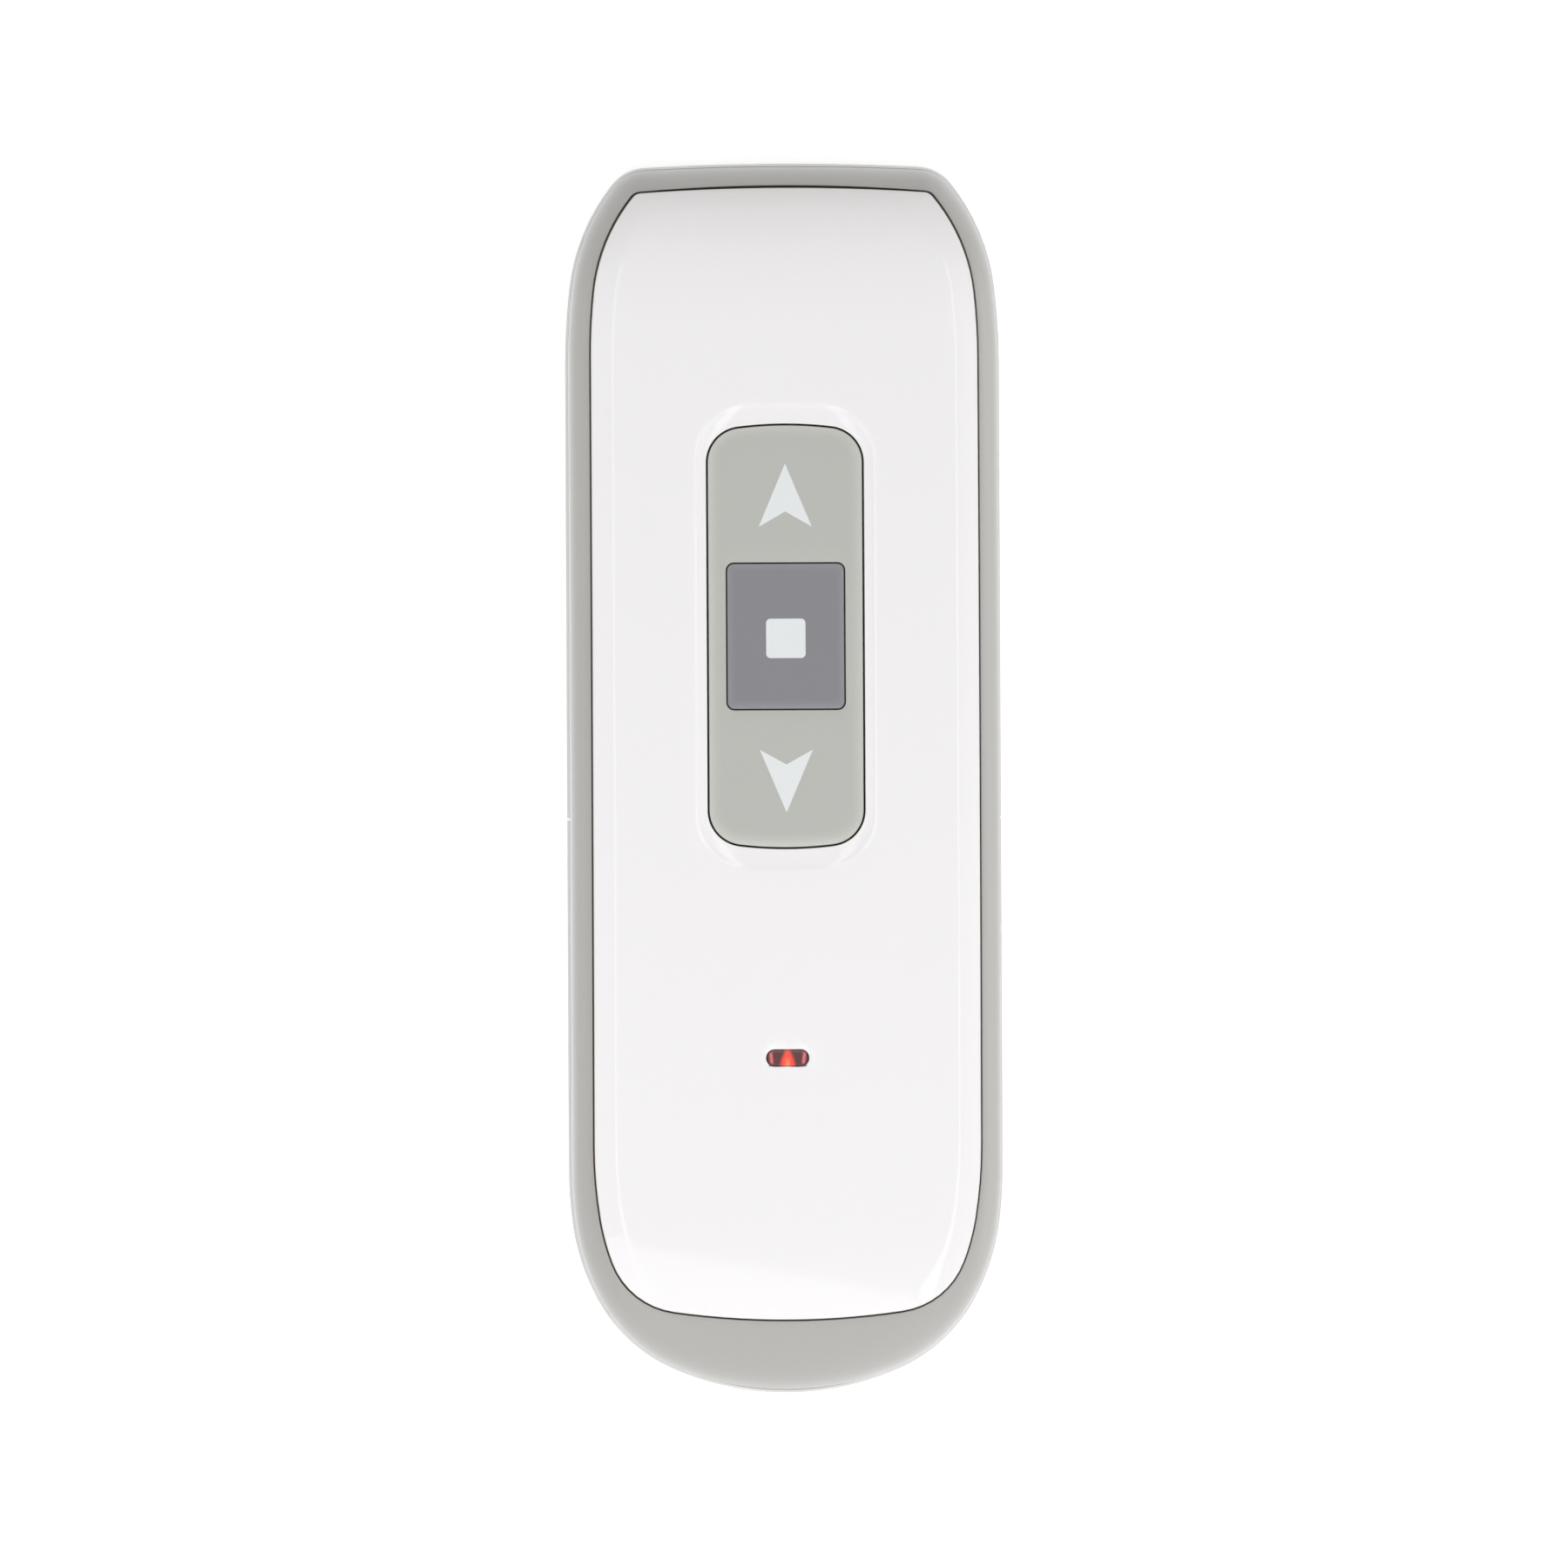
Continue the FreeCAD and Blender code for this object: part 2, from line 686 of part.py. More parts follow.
def make_rocker_key():
    grow = -pad_seam / 2.0
    top = pad_sink - plate_proud
    rim_wire = slab_wire(pad_width + 2 * grow, pad_length + 2 * grow, pad_corner_radius + grow,
                         pad_end_radius + grow, pad_centre, 0.0)
    cap = chamfered_cap(pad_slab(grow, 0.0, far), rim_wire, top)
    half_x = pad_width / 2.0 + grow - rocker_skirt
    half_y = pad_length / 2.0 + grow - rocker_skirt - rocker_end_wall
    cavity = block(-half_x, half_x, pad_centre - half_y, pad_centre + half_y, 0.0, far)
    cavity = cavity.common(crown(top + rocker_skin))
    window = stop_slab(pad_seam / 2.0, 0.0, far)
    pieces = [cap.cut(crown(top + rocker_depth)).cut(cavity).cut(window)]
    for side in (1, -1):
        y = pad_centre + side * plunger_spread
        plunger = block(-plunger_width / 2.0, plunger_width / 2.0, y - plunger_length / 2.0,
                        y + plunger_length / 2.0, dome_top + key_gap, overall_height)
        pieces.append(plunger.common(crown(top + rocker_skin / 2.0)))
    outer = pad_width / 2.0 + grow
    pin_start = outer - pivot_tab_wall / 2.0
    pin_end = outer + pivot_ear_gap + pivot_ear_thickness
    tab = block(outer - pivot_tab_wall, outer, pad_centre - pivot_tab_length / 2.0,
                pad_centre + pivot_tab_length / 2.0, pivot_height - pivot_tab_drop,
                surface_height(pad_centre, top + rocker_skin))
    pin = Part.makeCylinder(pivot_diameter / 2.0, pin_end - pin_start,
                            Vector(pin_start, pad_centre, pivot_height), Vector(1, 0, 0))
    return fused(pieces + [tab, pin, mirrored(tab), mirrored(pin)])


def make_stop_key():
    grow = -pad_seam / 2.0
    top = pad_sink - plate_proud
    cap = chamfered_cap(stop_slab(grow, 0.0, far), stop_wire(grow), top)
    half_x = stop_width / 2.0 + grow - stop_skirt
    half_y = stop_length / 2.0 + grow - stop_skirt
    hollow = block(-half_x, half_x, pad_centre - half_y, pad_centre + half_y, 0.0, far)
    shell = cap.cut(crown(top + stop_depth)).cut(hollow.common(crown(top + stop_skin)))
    half = stop_plunger_width / 2.0
    plunger = block(-half, half, pad_centre - half, pad_centre + half, dome_top + key_gap, overall_height)
    plunger = plunger.common(crown(top + stop_skin / 2.0))
    flange_half = stop_width / 2.0 - stop_skirt
    flange_reach = stop_length / 2.0 + stop_flange
    flange = block(-flange_half, flange_half, pad_centre - flange_reach, pad_centre + flange_reach,
                   0.0, overall_height)
    flange = flange.common(crown(top + stop_depth - stop_flange_thickness / 2.0))
    flange = flange.cut(crown(top + stop_depth + stop_flange_thickness / 2.0)).cut(hollow)
    return fused([shell, plunger, flange])


def dome_places():
    return [pad_centre + side * plunger_spread for side in (1, 0, -1)]


def make_keypad_mat():
    mat = slab(pad_width + 2 * mat_margin, pad_length + 2 * mat_margin, mat_corner_radius, 0.0, pad_centre,
               board_top, mat_top)
    outer = dome_side / 2.0
    inner = outer - dome_wall
    ceiling = dome_top - dome_roof
    domes = []
    cavities = []
    for y in dome_places():
        domes.append(cut_corner_prism(outer, y - outer, y + outer, dome_corner_cut, board_top, dome_top))
        cavities.append(cut_corner_prism(inner, y - inner, y + inner, dome_corner_cut, board_top, ceiling))
    return fused([mat] + domes).cut(cavities)


def make_contact_pills():
    top = dome_top - dome_roof
    half = pill_side / 2.0
    return Part.makeCompound([block(-half, half, y - half, y + half, top - pill_thickness, top)
                              for y in dome_places()])


def make_key_contacts():
    # Two strips of plated copper under each dome.
    strips = []
    for y in dome_places():
        for side in (1, -1):
            x = side * (contact_split + contact_width) / 2.0
            strips.append(block(x - contact_width / 2.0, x + contact_width / 2.0, y - contact_length / 2.0,
                                y + contact_length / 2.0, board_top, board_top + contact_thickness))
    return Part.makeCompound(strips)


def make_led_lens():
    top = lens_sink - plate_proud
    shoulder = plate_inset_depth + seat_gap
    window = slab(lens_length, lens_width, lens_corner_radius, 0.0, lens_place, 0.0, far).common(crown(top))
    window = window.cut(crown(shoulder + lens_flange_thickness / 2.0))
    half_x = lens_length / 2.0 + lens_flange
    half_y = lens_width / 2.0 + lens_flange
    flange = block(-half_x, half_x, lens_place - half_y, lens_place + half_y, 0.0, overall_height)
    flange = flange.common(crown(shoulder)).cut(crown(shoulder + lens_flange_thickness))
    low = board_top + lamp_height + lamp_gap
    stem = block(-lens_stem_length / 2.0, lens_stem_length / 2.0, lens_place - lens_stem_width / 2.0,
                 lens_place + lens_stem_width / 2.0, low, overall_height)
    return fused([window, flange, stem.common(crown(shoulder + lens_flange_thickness / 2.0))])


def make_status_led():
    half_y = lamp_width / 2.0
    pieces = []
    for share_long, share_high in ((1.0, lamp_base_share), (lamp_dome_share, 1.0)):
        half_x = lamp_length * share_long / 2.0
        pieces.append(block(-half_x, half_x, lens_place - half_y, lens_place + half_y,
                            board_top, board_top + lamp_height * share_high))
    return fused(pieces)


def make_circuit_board():
    # A notch in each side lets a screw pass.
    side = half_width - board_margin
    board = cut_corner_prism(side, board_bottom_end, board_top_end, board_corner_cut,
                             board_bottom, board_top)
    half = (screw_shank_diameter + screw_clearance) / 2.0
    notch = block(screw_place_across - half, side, screw_place_along - half, screw_place_along + half,
                  board_bottom, board_top)
    return board.cut([notch, mirrored(notch)])


def make_case_screws():
    screws = []
    for x, y in screw_places():
        head_low = screw_seat_height - screw_head_height
        screws.append(fused([
            disc(screw_head_diameter, x, y, head_low, screw_seat_height),
            disc(screw_shank_diameter, x, y, screw_seat_height, screw_seat_height + screw_length)]))
    return Part.makeCompound(screws)


def door_side_ribs(grow, low_y, high_y):
    # Ribs inside the door's straight side walls, or with grow the grooves that they run in.
    reach = half_width - door_wall - door_rib_reach - grow
    rib = block(reach, half_width - door_wall / 2.0, low_y, high_y,
                door_rib_level - door_rib_height / 2.0 - grow, door_rib_level + door_rib_height / 2.0 + grow)
    return [rib, mirrored(rib)]


def door_tongues(grow):
    # Tongues at the door's upper edge, or with grow the slots in the cover that they enter.
    tongues = []
    for side in (1, -1):
        x = side * door_tongue_place
        half = door_tongue_width / 2.0 + grow
        tongues.append(block(x - half, x + half, door_edge_place - door_butt_gap,
                             door_edge_place + door_tongue_length + grow,
                             door_wall - door_tongue_thickness - grow, door_wall + grow))
    return tongues


def make_battery_door():
    rib_top = door_edge_place - door_rib_start
    door = lower_form().cut(outline_prism(rim_outline, door_wall, door_wall, far))
    door = door.common(block(-far, far, -far, door_edge_place - door_butt_gap / 2.0, 0.0, far))
    door = fused([door] + door_side_ribs(0.0, rib_top - door_rib_length, rib_top) + door_tongues(0.0))
    recess_y = door_edge_place - thumb_recess_place
    bowl = (thumb_recess_length ** 2 / 4.0 + thumb_recess_depth ** 2) / (2.0 * thumb_recess_depth)
    door = door.cut(Part.makeCylinder(bowl, thumb_recess_width,
                                      Vector(-thumb_recess_width / 2.0, recess_y, thumb_recess_depth - bowl),
                                      Vector(1, 0, 0)))
    half = thumb_recess_width / 2.0 - thumb_rib_margin
    pitch = thumb_recess_length / (thumb_rib_count + 1)
    bars = []
    for number in range(thumb_rib_count):
        y = recess_y + (number - (thumb_rib_count - 1) / 2.0) * pitch
        bars.append(block(-half, half, y - thumb_rib_width / 2.0, y + thumb_rib_width / 2.0,
                          thumb_recess_depth - thumb_rib_height, (thumb_recess_depth + door_wall) / 2.0))
    return fused([door] + bars)


def make_rear_cover():
    hollow = outline_prism(rim_outline, inner_inset, cover_floor, far)
    cover = lower_form().cut(hollow)
    cover = cover.common(block(-far, far, door_edge_place + door_butt_gap / 2.0, far, 0.0, far))
    tray = outline_prism(rim_outline, tray_inset, tray_inset, parting_height - parting_seam / 2.0)
    tray = tray.cut(outline_prism(rim_outline, inner_inset, inner_inset, far))
    tray = tray.common(block(-far, far, -far, door_edge_place + tray_overlap, 0.0, far))
    lip = outline_prism(rim_outline, lip_inset, parting_height - lip_root, parting_height + lip_height)
    stays = [board_rib(side, cover_floor / 2.0, board_bottom) for side in (1, -1)]
    stays += [screw_post(x, y, tray_inset, board_bottom) for x, y in screw_places()]
    shell = fused([cover, tray, lip.cut(hollow)] + snap_beads(0.0) + stays)
    rib_top = door_edge_place - door_rib_start
    groove_low = rib_top - door_rib_length - groove_run_out
    cuts = door_side_ribs(groove_clearance, groove_low, rib_top + groove_clearance)
    cuts += door_tongues(tongue_clearance)
    for x, y in screw_places():
        cuts.append(disc(screw_head_diameter + screw_clearance, x, y, 0.0, screw_seat_height))
        cuts.append(disc(screw_shank_diameter + screw_clearance, x, y, 0.0, far))
    cuts.append(disc(pair_diameter + 2 * pair_clearance, 0.0, pair_place, 0.0, far))
    access = cell_diameter / 2.0 + access_margin
    cuts.append(cut_corner_prism(access, cell_place - access, cell_place + access, holder_corner_cut,
                                 0.0, parting_height))
    return shell.cut(cuts)


def make_cell_holder():
    # A square socket with cut corners, open below, with a slot for each contact.
    base = board_bottom - holder_base
    low = cell_bottom - contact_sheet - holder_lip_gap
    inner = cell_diameter + 2 * cell_clearance
    side = inner / 2.0 + holder_wall
    box = cut_corner_prism(side, cell_place - side, cell_place + side, holder_corner_cut, low, board_bottom)
    arm_half = positive_arm_width / 2.0 + contact_slot_gap
    strip_half_x = negative_strip_width / 2.0 + contact_slot_gap
    strip_half_y = negative_strip_length / 2.0 + contact_slot_gap
    quarter = cell_diameter / 4.0
    return box.cut([
        disc(inner, 0.0, cell_place, 0.0, base),
        block(-holder_mouth_width / 2.0, holder_mouth_width / 2.0, cell_place + quarter, far, 0.0, base),
        block(-arm_half, arm_half, -far, cell_place - quarter, 0.0, base),
        block(-strip_half_x, strip_half_x, cell_place - strip_half_y, cell_place + strip_half_y,
              base, base + contact_sheet)])


def make_coin_cell():
    # The wide can faces down to the door and the small cap faces up to the board.
    can = disc(cell_diameter, 0.0, cell_place, cell_bottom, cell_bottom + cell_height - cell_rim_step)
    cap = disc(cell_cap_diameter, 0.0, cell_place, cell_bottom, cell_bottom + cell_height)
    return fused([can, cap])


def make_negative_contact():
    # A sheet strip in the holder's base with two sprung prongs that touch the cell's cap.
    base = board_bottom - holder_base
    half = negative_strip_length / 2.0
    width = negative_strip_width / 2.0
    pieces = [block(-width, width, cell_place - half, cell_place + half, base, base + contact_sheet)]
    for side in (1, -1):
        middle = cell_place + side * half / 2.0
        pieces.append(block(-width / 2.0, width / 2.0, middle - negative_prong_length / 2.0,
                            middle + negative_prong_length / 2.0, cell_bottom + cell_height, base))
    return fused(pieces)


def make_positive_contact():
    # A bent sheet clip: under the can, up its side and out to a leg in the board.
    side_y = cell_place - cell_diameter / 2.0 - cell_clearance / 2.0
    outer_y = side_y - contact_sheet
    foot_y = side_y - positive_foot_length
    half = positive_arm_width / 2.0
    base = board_bottom - holder_base
    return fused([
        block(-half, half, outer_y, side_y + positive_arm_reach, cell_bottom - contact_sheet, cell_bottom),
        block(-half, half, outer_y, side_y, cell_bottom - contact_sheet, base),
        block(-half, half, foot_y, side_y, base - contact_sheet, base),
        block(-half / 2.0, half / 2.0, foot_y, foot_y + contact_sheet, base - contact_sheet, board_bottom)])


def make_microcontroller():
    low = board_top + mcu_stand_off
    top = low + mcu_height
    body = block(mcu_place_x - mcu_width / 2.0, mcu_place_x + mcu_width / 2.0,
                 mcu_place_y - mcu_length / 2.0, mcu_place_y + mcu_length / 2.0, low, top)
    pieces = [body.makeChamfer(mcu_chamfer, level_edges(body, top))]
    knee = mcu_width / 2.0 + mcu_lead_reach / 2.0
    tip = mcu_width / 2.0 + mcu_lead_reach
    shoulder = low + mcu_height / 2.0
    for number in range(mcu_lead_count):
        y = mcu_place_y + (number - (mcu_lead_count - 1) / 2.0) * mcu_lead_pitch
        for side in (1, -1):
            corners = [
                (mcu_width / 2.0 - mcu_chamfer, shoulder), (knee, shoulder),
                (knee, board_top + mcu_lead_thickness),
                (tip, board_top + mcu_lead_thickness), (tip, board_top),
                (knee - mcu_lead_thickness, board_top),
                (knee - mcu_lead_thickness, shoulder - mcu_lead_thickness),
                (mcu_width / 2.0 - mcu_chamfer, shoulder - mcu_lead_thickness)]
            near = y - mcu_lead_width / 2.0
            profile = [Vector(mcu_place_x + side * x, near, z) for x, z in corners + corners[:1]]
            pieces.append(Part.Face(Part.makePolygon(profile)).extrude(Vector(0, mcu_lead_width, 0)))
    return fused(pieces)


def make_radio_chip():
    half = radio_side / 2.0
    return block(radio_place_x - half, radio_place_x + half, radio_place_y - half, radio_place_y + half,
                 board_top, board_top + radio_height)


def make_crystal():
    can = slab(crystal_width, crystal_length, crystal_corner_radius, 0.0, crystal_place_y,
               board_top, board_top + crystal_height)
    can.translate(Vector(crystal_place_x, 0, 0))
    return can


def make_antenna():
    # A stamped strip standing on two legs across the top end of the board.
    half = antenna_width / 2.0
    y_low = antenna_place - antenna_strip / 2.0
    y_high = antenna_place + antenna_strip / 2.0
    high = board_top + antenna_height
    pieces = [block(-half, half, y_low, y_high, high - antenna_sheet, high)]
    for x in (-half, half - antenna_sheet):
        pieces.append(block(x, x + antenna_sheet, y_low, y_high, board_top, high))
    return fused(pieces)


def make_chip_components():
    chips = []
    for row in range(chip_rows):
        for column in range(chip_columns):
            x = chip_place_x + column * chip_pitch_across
            y = chip_place_y - row * chip_pitch_along
            chips.append(block(x - chip_length / 2.0, x + chip_length / 2.0, y - chip_width / 2.0,
                               y + chip_width / 2.0, board_top, board_top + chip_height))
    return Part.makeCompound(chips)


def make_pair_switch():
    half = switch_side / 2.0
    body = block(-half, half, pair_place - half, pair_place + half, switch_bottom, board_bottom)
    body = body.makeChamfer(switch_chamfer, level_edges(body, switch_bottom))
    return body.cut(disc(switch_stem_diameter + 2 * switch_stem_clearance, 0.0, pair_place, 0.0,
                         switch_bottom + 2 * switch_stem_reach))


def make_switch_stem():
    return disc(switch_stem_diameter, 0.0, pair_place, switch_bottom - switch_stem_reach,
                switch_bottom + switch_stem_reach)


def make_pair_button():
    # A round face in the cover's hole, a square flange behind it and a stem to the switch.
    flange_low = cover_floor + pair_flange_gap
    flange_high = flange_low + pair_flange_thickness
    half = pair_diameter / 2.0 + pair_flange
    return fused([
        disc(pair_diameter, 0.0, pair_place, pair_face_sink, flange_high),
        block(-half, half, pair_place - half, pair_place + half, flange_low, flange_high),
        disc(pair_stem_diameter, 0.0, pair_place, flange_low, switch_bottom - switch_stem_reach)])


makers = {
    "faceplate": make_faceplate,
    "grip_frame": make_grip_frame,
    "rear_cover": make_rear_cover,
    "battery_door": make_battery_door,
    "rocker_key": make_rocker_key,
    "stop_key": make_stop_key,
    "led_lens": make_led_lens,
    "circuit_board": make_circuit_board,
    "keypad_mat": make_keypad_mat,
    "contact_pills": make_contact_pills,
    "key_contacts": make_key_contacts,
    "status_led": make_status_led,
    "case_screws": make_case_screws,
    "cell_holder": make_cell_holder,
    "coin_cell": make_coin_cell,
    "negative_contact": make_negative_contact,
    "positive_contact": make_positive_contact,
    "microcontroller": make_microcontroller,
    "radio_chip": make_radio_chip,
    "crystal": make_crystal,
    "antenna": make_antenna,
    "chip_components": make_chip_components,
    "pair_switch": make_pair_switch,
    "switch_stem": make_switch_stem,
    "pair_button": make_pair_button,
}

os.makedirs("parts", exist_ok=True)
for name, maker in makers.items():
    shape = maker()
    print(name, "solids", len(shape.Solids), "valid", shape.isValid(), "volume", round(shape.Volume, 2))
    shape.exportStep("parts/" + name + ".step")
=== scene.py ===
import math

import bmesh
import bpy
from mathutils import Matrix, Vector


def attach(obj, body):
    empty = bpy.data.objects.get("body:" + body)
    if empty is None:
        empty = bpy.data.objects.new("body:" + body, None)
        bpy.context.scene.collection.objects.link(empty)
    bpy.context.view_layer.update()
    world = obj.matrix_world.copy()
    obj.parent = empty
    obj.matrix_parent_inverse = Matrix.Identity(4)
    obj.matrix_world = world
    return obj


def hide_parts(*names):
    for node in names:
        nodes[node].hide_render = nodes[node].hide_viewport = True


# A remote control for window blinds, lying on its back on a pale table and seen from above.
# Sizes are in millimetres and are turned to metres where a mesh is made.

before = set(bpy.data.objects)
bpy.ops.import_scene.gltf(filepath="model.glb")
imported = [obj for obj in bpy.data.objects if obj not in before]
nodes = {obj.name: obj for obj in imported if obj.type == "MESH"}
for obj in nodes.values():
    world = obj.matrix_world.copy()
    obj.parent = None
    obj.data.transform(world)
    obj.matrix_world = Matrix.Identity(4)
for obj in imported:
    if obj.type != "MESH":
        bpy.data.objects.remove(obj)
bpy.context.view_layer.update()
mm = 0.001
weld = 0.000002  # points closer than this are merged, in metres
softAngle = 35.0  # edges flatter than this are shaded smooth, in degrees
flatAngle = 0.2  # faces closer in angle than this are merged, in degrees

# The crowned top of the case: a long arc along it, a tighter one at each end and a rounded edge
crown = {"height": 15.25, "radius": 600.0, "rollStart": 45.0, "rollRadius": 45.0,
         "edgeRound": 3.9, "rimStep": 0.25, "partingHeight": 6.05}

# Each end of an outline: how far it reaches, how far before that the straight side ends, the radii
# of the side, shoulder, corner and end arcs, and how many degrees the side arc turns
rim = {
    "halfWidth": 21.5,
    "top": {"reach": 60.95, "shoulder": 19.95, "radii": (66.0, 20.5, 4.4, 260.0), "turn": 6.6},
    "bottom": {"reach": 60.95, "shoulder": 22.45, "radii": (44.0, 22.0, 15.5, 27.5), "turn": 7.1}}
plate = {
    "halfWidth": 19.2,
    "top": {"reach": 58.67, "shoulder": 16.87, "radii": (61.0, 18.2, 1.2, 167.0), "turn": 6.0},
    "bottom": {"reach": 53.68, "shoulder": 17.28, "radii": (44.7, 22.6, 7.7, 79.0), "turn": 9.2}}
pointCounts = {"arcs": (4, 10, 8, 7), "straight": 20}  # points in each arc and along each side


def around(centre, radius, angle):
    return (centre[0] + radius * math.cos(angle), centre[1] + radius * math.sin(angle))


def tangentArcs(halfWidth, end):
    # Centre, radius, start and stop angle of the four arcs from the side to the middle of the end
    sideRadius, shoulderRadius, cornerRadius, endRadius = end["radii"]
    turn = math.radians(end["turn"])
    side = (halfWidth - sideRadius, end["reach"] - end["shoulder"])
    shoulder = around(side, sideRadius - shoulderRadius, turn)
    middle = (0.0, end["reach"] - endRadius)
    dx = shoulder[0] - middle[0]
    dy = shoulder[1] - middle[1]
    spread = math.hypot(dx, dy)
    inner = shoulderRadius - cornerRadius
    outer = endRadius - cornerRadius
    opening = math.acos((outer ** 2 - inner ** 2 - spread ** 2) / (2.0 * inner * spread))
    bend = math.atan2(dy, dx) - opening
    if not turn < bend < math.pi / 2.0:
        bend = math.atan2(dy, dx) + opening
    corner = around(shoulder, inner, bend)
    last = math.atan2(corner[1] - middle[1], corner[0] - middle[0])
    return [(side, sideRadius, 0.0, turn), (shoulder, shoulderRadius, turn, bend),
            (corner, cornerRadius, bend, last), (middle, endRadius, last, math.pi / 2.0)]


def arcPoints(arc, inset, count):
    # Points along an arc, without its first one
    centre, radius, start, stop = arc
    return [around(centre, radius - inset, start + (stop - start) * step / count)
            for step in range(1, count + 1)]


def closeRing(topQuarter, bottomQuarter):
    # Two right-hand quarters, mirrored and joined by the straight sides into one ring of points
    count = pointCounts["straight"]
    high = topQuarter[0]
    low = (bottomQuarter[0][0], -bottomQuarter[0][1])
    straight = [(low[0] + (high[0] - low[0]) * step / count,
                 low[1] + (high[1] - low[1]) * step / count) for step in range(1, count)]
    top = topQuarter + [(-x, y) for x, y in topQuarter[-2::-1]]
    bottom = [(-x, -y) for x, y in bottomQuarter] + [(x, -y) for x, y in bottomQuarter[-2::-1]]
    return top + [(-x, y) for x, y in straight[::-1]] + bottom + straight


def outlineRing(outline, inset):
    # The ring of points that runs so far inside an outline
    quarters = []
    for name in ("top", "bottom"):
        arcs = tangentArcs(outline["halfWidth"], outline[name])
        points = [around(arcs[0][0], arcs[0][1] - inset, 0.0)]
        for arc, count in zip(arcs, pointCounts["arcs"]):
            points += arcPoints(arc, inset, count)
        quarters.append(points)
    return closeRing(*quarters)


def slabRing(width, length, corner, endRadius, centreY):
    # A rounded rectangle whose ends may bow outwards, with as many points as an outline's ring
    halfX = width / 2.0
    halfY = length / 2.0
    cornerX = halfX - corner
    cornerY = halfY - corner
    lean = 0.0
    if endRadius:
        cornerY = halfY - endRadius + math.sqrt((endRadius - corner) ** 2 - cornerX ** 2)
        lean = math.asin(cornerX / (endRadius - corner))
    arc = ((cornerX, cornerY), corner, 0.0, math.pi / 2.0 - lean)
    points = [(halfX, cornerY)] + arcPoints(arc, 0.0, sum(pointCounts["arcs"][:3]))
    endCount = pointCounts["arcs"][3]
    if endRadius:
        end = ((0.0, halfY - endRadius), endRadius, math.pi / 2.0 - lean, math.pi / 2.0)
        points += arcPoints(end, 0.0, endCount)
    else:
        points += [(cornerX * (1.0 - step / endCount), halfY) for step in range(1, endCount + 1)]
    return [(x, y + centreY) for x, y in closeRing(points, points)]


rimArcs = [tangentArcs(rim["halfWidth"], rim[name]) for name in ("top", "bottom")]


def rimDistance(x, y):
    # How far a place in plan lies inside the outer outline, or well inside where no arc faces it
    slack = 0.01
    x = abs(x)
    arcs = rimArcs[0] if y > 0 else rimArcs[1]
    y = abs(y)
    found = [rim["halfWidth"] - x] if y < arcs[0][0][1] else []
    for centre, radius, start, stop in arcs:
        angle = math.atan2(y - centre[1], x - centre[0])
        if start - slack <= angle <= stop + slack:
            found.append(radius - math.hypot(x - centre[0], y - centre[1]))
    return min(found) if found else crown["edgeRound"] * 2.0


def crownHeight(y, depth):
    # Height of the crown over a place along the remote, at a depth under the frame's surface
    lean = math.asin(crown["rollStart"] / crown["radius"])
    radius = crown["radius"] - depth
    if abs(y) <= radius * math.sin(lean):
        return crown["height"] - crown["radius"] + math.sqrt(radius ** 2 - y ** 2)
    offset = crown["radius"] - crown["rollRadius"]
    centre = crown["height"] - crown["radius"] + offset * math.cos(lean)
    past = abs(y) - offset * math.sin(lean)
    return centre + math.sqrt((crown["rollRadius"] - depth) ** 2 - past ** 2)


def formHeight(x, y, depth):
    # The same with the rounded edge of the case
    rounding = crown["edgeRound"] - depth
    inward = rimDistance(x, y) - crown["rimStep"] - depth
    share = min(max(1.0 - inward / rounding, 0.0), 1.0)
    return crownHeight(y, depth + rounding * (1.0 - math.sqrt(1.0 - share ** 2)))


def onForm(ring, depth, paintedLight=0.0):
    # Besides its place, a ring's point carries painted light: one for a painted highlight at an
    # edge, minus one for painted shade deep in a seam
    return [(x, y, formHeight(x, y, depth), paintedLight) for x, y in ring]


def onCrown(ring, depth, paintedLight=0.0):
    # The same without the rounded edge
    return [(x, y, crownHeight(y, depth), paintedLight) for x, y in ring]


def onLevel(ring, height):
    return [(x, y, height, 0.0) for x, y in ring]


def mixRings(first, second, share):
    return [tuple(a + (b - a) * share for a, b in zip(one, two)) for one, two in zip(first, second)]


def filletSteps(radius, count):
    # Inset and drop of the rings that round an edge, from the wall to the face
    turns = [math.pi / 2.0 * step / count for step in range(count + 1)]
    return [(radius * (1.0 - math.cos(turn)), radius * (1.0 - math.sin(turn))) for turn in turns]


def smoothShare(share):
    return share * share * (3.0 - 2.0 * share)


def placeLoop(mesh, loop, ring):
    layer = mesh.verts.layers.float.get("paintedLight") or mesh.verts.layers.float.new("paintedLight")
    mesh.verts.ensure_lookup_table()
    for number, point in zip(loop, ring):
        mesh.verts[number].co = Vector(point[:3]) * mm
        mesh.verts[number][layer] = point[3]


def editMesh(piece):
    mesh = bmesh.from_edit_mesh(piece.data)
    mesh.verts.ensure_lookup_table()
    return mesh


def nextLoop(mesh, loop):
    # The points that the last extrude pulled out of a loop, in the same order
    following = []
    for number in loop:
        vert = mesh.verts[number]
        others = [edge.other_vert(vert) for edge in vert.link_edges]
        following.append(next(other.index for other in others if other.select))
    return following


